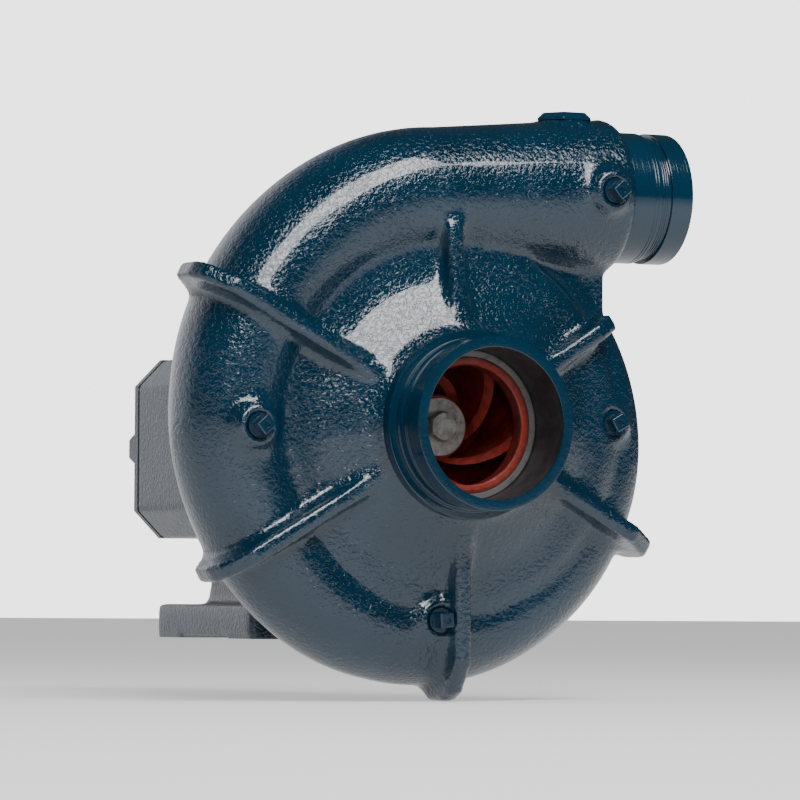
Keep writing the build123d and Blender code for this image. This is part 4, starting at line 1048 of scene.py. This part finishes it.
class DressFasteners(bpy.types.Operator):
    """Lays out the studs, nuts, cover screws, bearing balls and seal spring"""
    bl_idname = "pump.fasteners"
    bl_label = "Fasteners"

    def execute(self, context):
        colours = context.scene.pump_colours
        steel = machined_metal("stud_steel", (0.42, 0.42, 0.42), 1.0, 0.28)
        coat = enamel_machined("fastener_enamel", colours)
        balls = polished("ball_steel", (0.60, 0.61, 0.62), 1.0, 0.06)
        self.ring = around_shaft()
        self.studs(steel, coat)
        self.screws(coat)
        self.bearing_balls("front_bearing_balls", "front_balls", balls)
        self.bearing_balls("rear_bearing_balls", "rear_balls", balls)
        self.spring()
        return {"FINISHED"}

    def studs(self, steel, coat):
        """Studs and their nuts, spaced round the backplate's rim."""
        nut_r = NUT_ACROSS / 2 / math.cos(math.pi / 6)
        nut_flats = [flats(6, NUT_ACROSS, STUD_R + 1 * MM)]
        self.stud_row("casing_studs", "studs", AXIS_R, STUD_R, steel, "bright_steel", [])
        self.stud_row("casing_nuts", "nuts", STUD_R + 0.05 * MM, nut_r, coat, "blue_paint", nut_flats)

    def stud_row(self, node, name, inner, outer, material, slot, cuts):
        """One turned, chamfered template laid out on the stud circle."""
        start, end = (corner[1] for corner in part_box(node))
        face_r = outer - 1.2 * STUD_CHAMFER
        profile = [(inner, start), (face_r, start), (outer, start + STUD_CHAMFER),
                   (outer, end - STUD_CHAMFER), (face_r, end), (inner, end)]
        template = turned(name, LATHE, profile, 36, 0.2 * MM, cuts)
        shade(template.data, 30)
        self.ring.lay(template, material, centre=(0.0, 0.0, SHAFT_Z), count=STUD_COUNT,
                      circle_radius=STUD_CIRCLE_R, first_angle=math.pi / STUD_COUNT)
        dress(template, "casing", slot, node)

    def screws(self, coat):
        """Socket screws sunk in the rear cover's bosses."""
        tip, top = (corner[1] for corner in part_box("cover_screws"))
        head, floor = top - SCREW_HEAD, top - SOCKET_DEPTH
        socket_r = SCREW_SOCKET * 0.57
        profile = [(AXIS_R, tip), (SCREW_R, tip), (SCREW_R, head), (SCREW_HEAD_R, head),
                   (SCREW_HEAD_R, top), (SCREW_SOCKET * 0.62, top), (socket_r, top - 0.5 * MM),
                   (socket_r, floor), (AXIS_R, floor)]
        hexagon = flats(6, SCREW_SOCKET, 0.0, SCREW_SOCKET * 0.6)
        template = turned("screw", LATHE, profile, 36, 0.25 * MM, [hexagon])
        places = [(point.x, 0.0, point.z) for point in centres("cover_screws")]
        screws = dots("cover_screw_set", places)
        at_places().lay(screws, coat, template=template)
        bpy.data.objects.remove(template)
        dress(screws, "casing", "blue_paint", "cover_screws")

    def bearing_balls(self, node, body, material):
        """One bearing's balls, sized and spaced from the frame."""
        low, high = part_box(node)
        radius = (high[1] - low[1]) / 2
        circle = (high[0] - low[0]) / 2 - radius
        form = bmesh.new()
        bmesh.ops.create_icosphere(form, subdivisions=4, radius=radius,
                                   matrix=Matrix.Translation((0, (low[1] + high[1]) / 2, 0)))
        mesh = bpy.data.meshes.new(node)
        form.to_mesh(mesh)
        form.free()
        ball = add_object(node + "_finished", mesh)
        mesh.shade_smooth()
        self.ring.lay(ball, material, centre=(0.0, 0.0, SHAFT_Z), count=BALL_COUNT,
                      circle_radius=circle, first_angle=0.0)
        ball.data.shade_smooth()
        dress(ball, body, "bearing_steel", node)

    def spring(self):
        """The coil that keeps the seal faces together."""
        low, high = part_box("seal_spring")
        coil = dots("seal_coil", [])
        wire = SPRING_WIRE_R
        coil_spring().lay(coil, machined_metal("spring_steel", (0.45, 0.45, 0.44), 1.0, 0.3),
                          centre=(0.0, low[1] + wire, SHAFT_Z), turns=SPRING_TURNS,
                          coil_radius=(high[2] - low[2]) / 2 - wire, wire_radius=wire,
                          length=high[1] - low[1] - 2 * wire)
        coil.data.shade_smooth()
        dress(coil, "rotor", "bright_steel", "seal_spring")


class DressFittings(bpy.types.Operator):
    """Gives plugs, shaft, seals and bearings their edges and finishes"""
    bl_idname = "pump.fittings"
    bl_label = "Fittings"

    def execute(self, context):
        colours = context.scene.pump_colours
        finishes = {
            "bright_steel": machined_metal("ground_steel", (0.42, 0.42, 0.42), 1.0, 0.22),
            "bearing_steel": polished("bearing_steel", (0.55, 0.56, 0.58), 1.0, 0.10),
            "brass": polished("cage_brass", (0.50, 0.33, 0.10), 1.0, 0.25),
            "gasket": black_rubber("gasket_sheet"),
            "rubber": black_rubber("seal_rubber", 0.02, 0.5),
            "ceramic": polished("seat_ceramic", (0.75, 0.74, 0.70), 0.0, 0.25),
            "carbon": polished("face_carbon", (0.03, 0.03, 0.032), 0.0, 0.35),
            "black_plastic": black_rubber("cap_plastic", 0.02, 0.35),
            "gauge_glass": polished("gauge_metal", (0.55, 0.55, 0.55), 1.0, 0.25),
            "blue_paint": enamel_machined("plug_enamel", colours),
        }
        bevels = {"pipe_plugs": 0.9 * MM, "priming_plug": 0.7 * MM, "oil_gauge": 0.5 * MM}
        bodies = frame["record"]["behaviour"]["bodies"]
        slots = {entry["node"]: entry["material_slot"] for entry in frame["record"]["subparts"]}
        for body, nodes in bodies.items():
            for node in nodes:
                if node in DRESSED:
                    continue
                if node in bevels:
                    piece = bevelled(node, bevels[node])
                else:
                    piece = merged_copy(node, node + "_finished")
                    shade(piece.data, 30)
                paint(piece, finishes[slots[node]])
                dress(piece, body, slots[node], node)
        return {"FINISHED"}


class PumpPanel(bpy.types.Panel):
    """Lists the steps that dress the pump"""
    bl_idname = "PUMP_PT_panel"
    bl_label = "Pump"
    bl_space_type = "VIEW_3D"
    bl_region_type = "UI"
    bl_category = "Pump"

    def draw(self, context):
        for operator in OPERATORS:
            self.layout.operator(operator.bl_idname)
        for group in SETTINGS:
            settings = getattr(context.scene, group)
            for name in settings.__annotations__:
                self.layout.prop(settings, name)


OPERATORS = (StagePump, DressCasing, DressImpeller, DressFrame, DressFasteners, DressFittings)
SETTINGS = {"pump_sizes": PumpSizes, "pump_colours": PumpColours, "pump_camera": PumpCamera}


def register():
    for cls in (*SETTINGS.values(), *OPERATORS, PumpPanel):
        bpy.utils.register_class(cls)
    for name, cls in SETTINGS.items():
        setattr(bpy.types.Scene, name, PointerProperty(type=cls))


def unregister():
    for name in SETTINGS:
        delattr(bpy.types.Scene, name)
    for cls in (PumpPanel, *reversed(OPERATORS), *SETTINGS.values()):
        bpy.utils.unregister_class(cls)


def main():
    register()
    bpy.ops.pump.stage()
    bpy.ops.pump.casing()
    bpy.ops.pump.impeller()
    bpy.ops.pump.frame()
    bpy.ops.pump.fasteners()
    bpy.ops.pump.fittings()


if __name__ == "__main__":
    main()
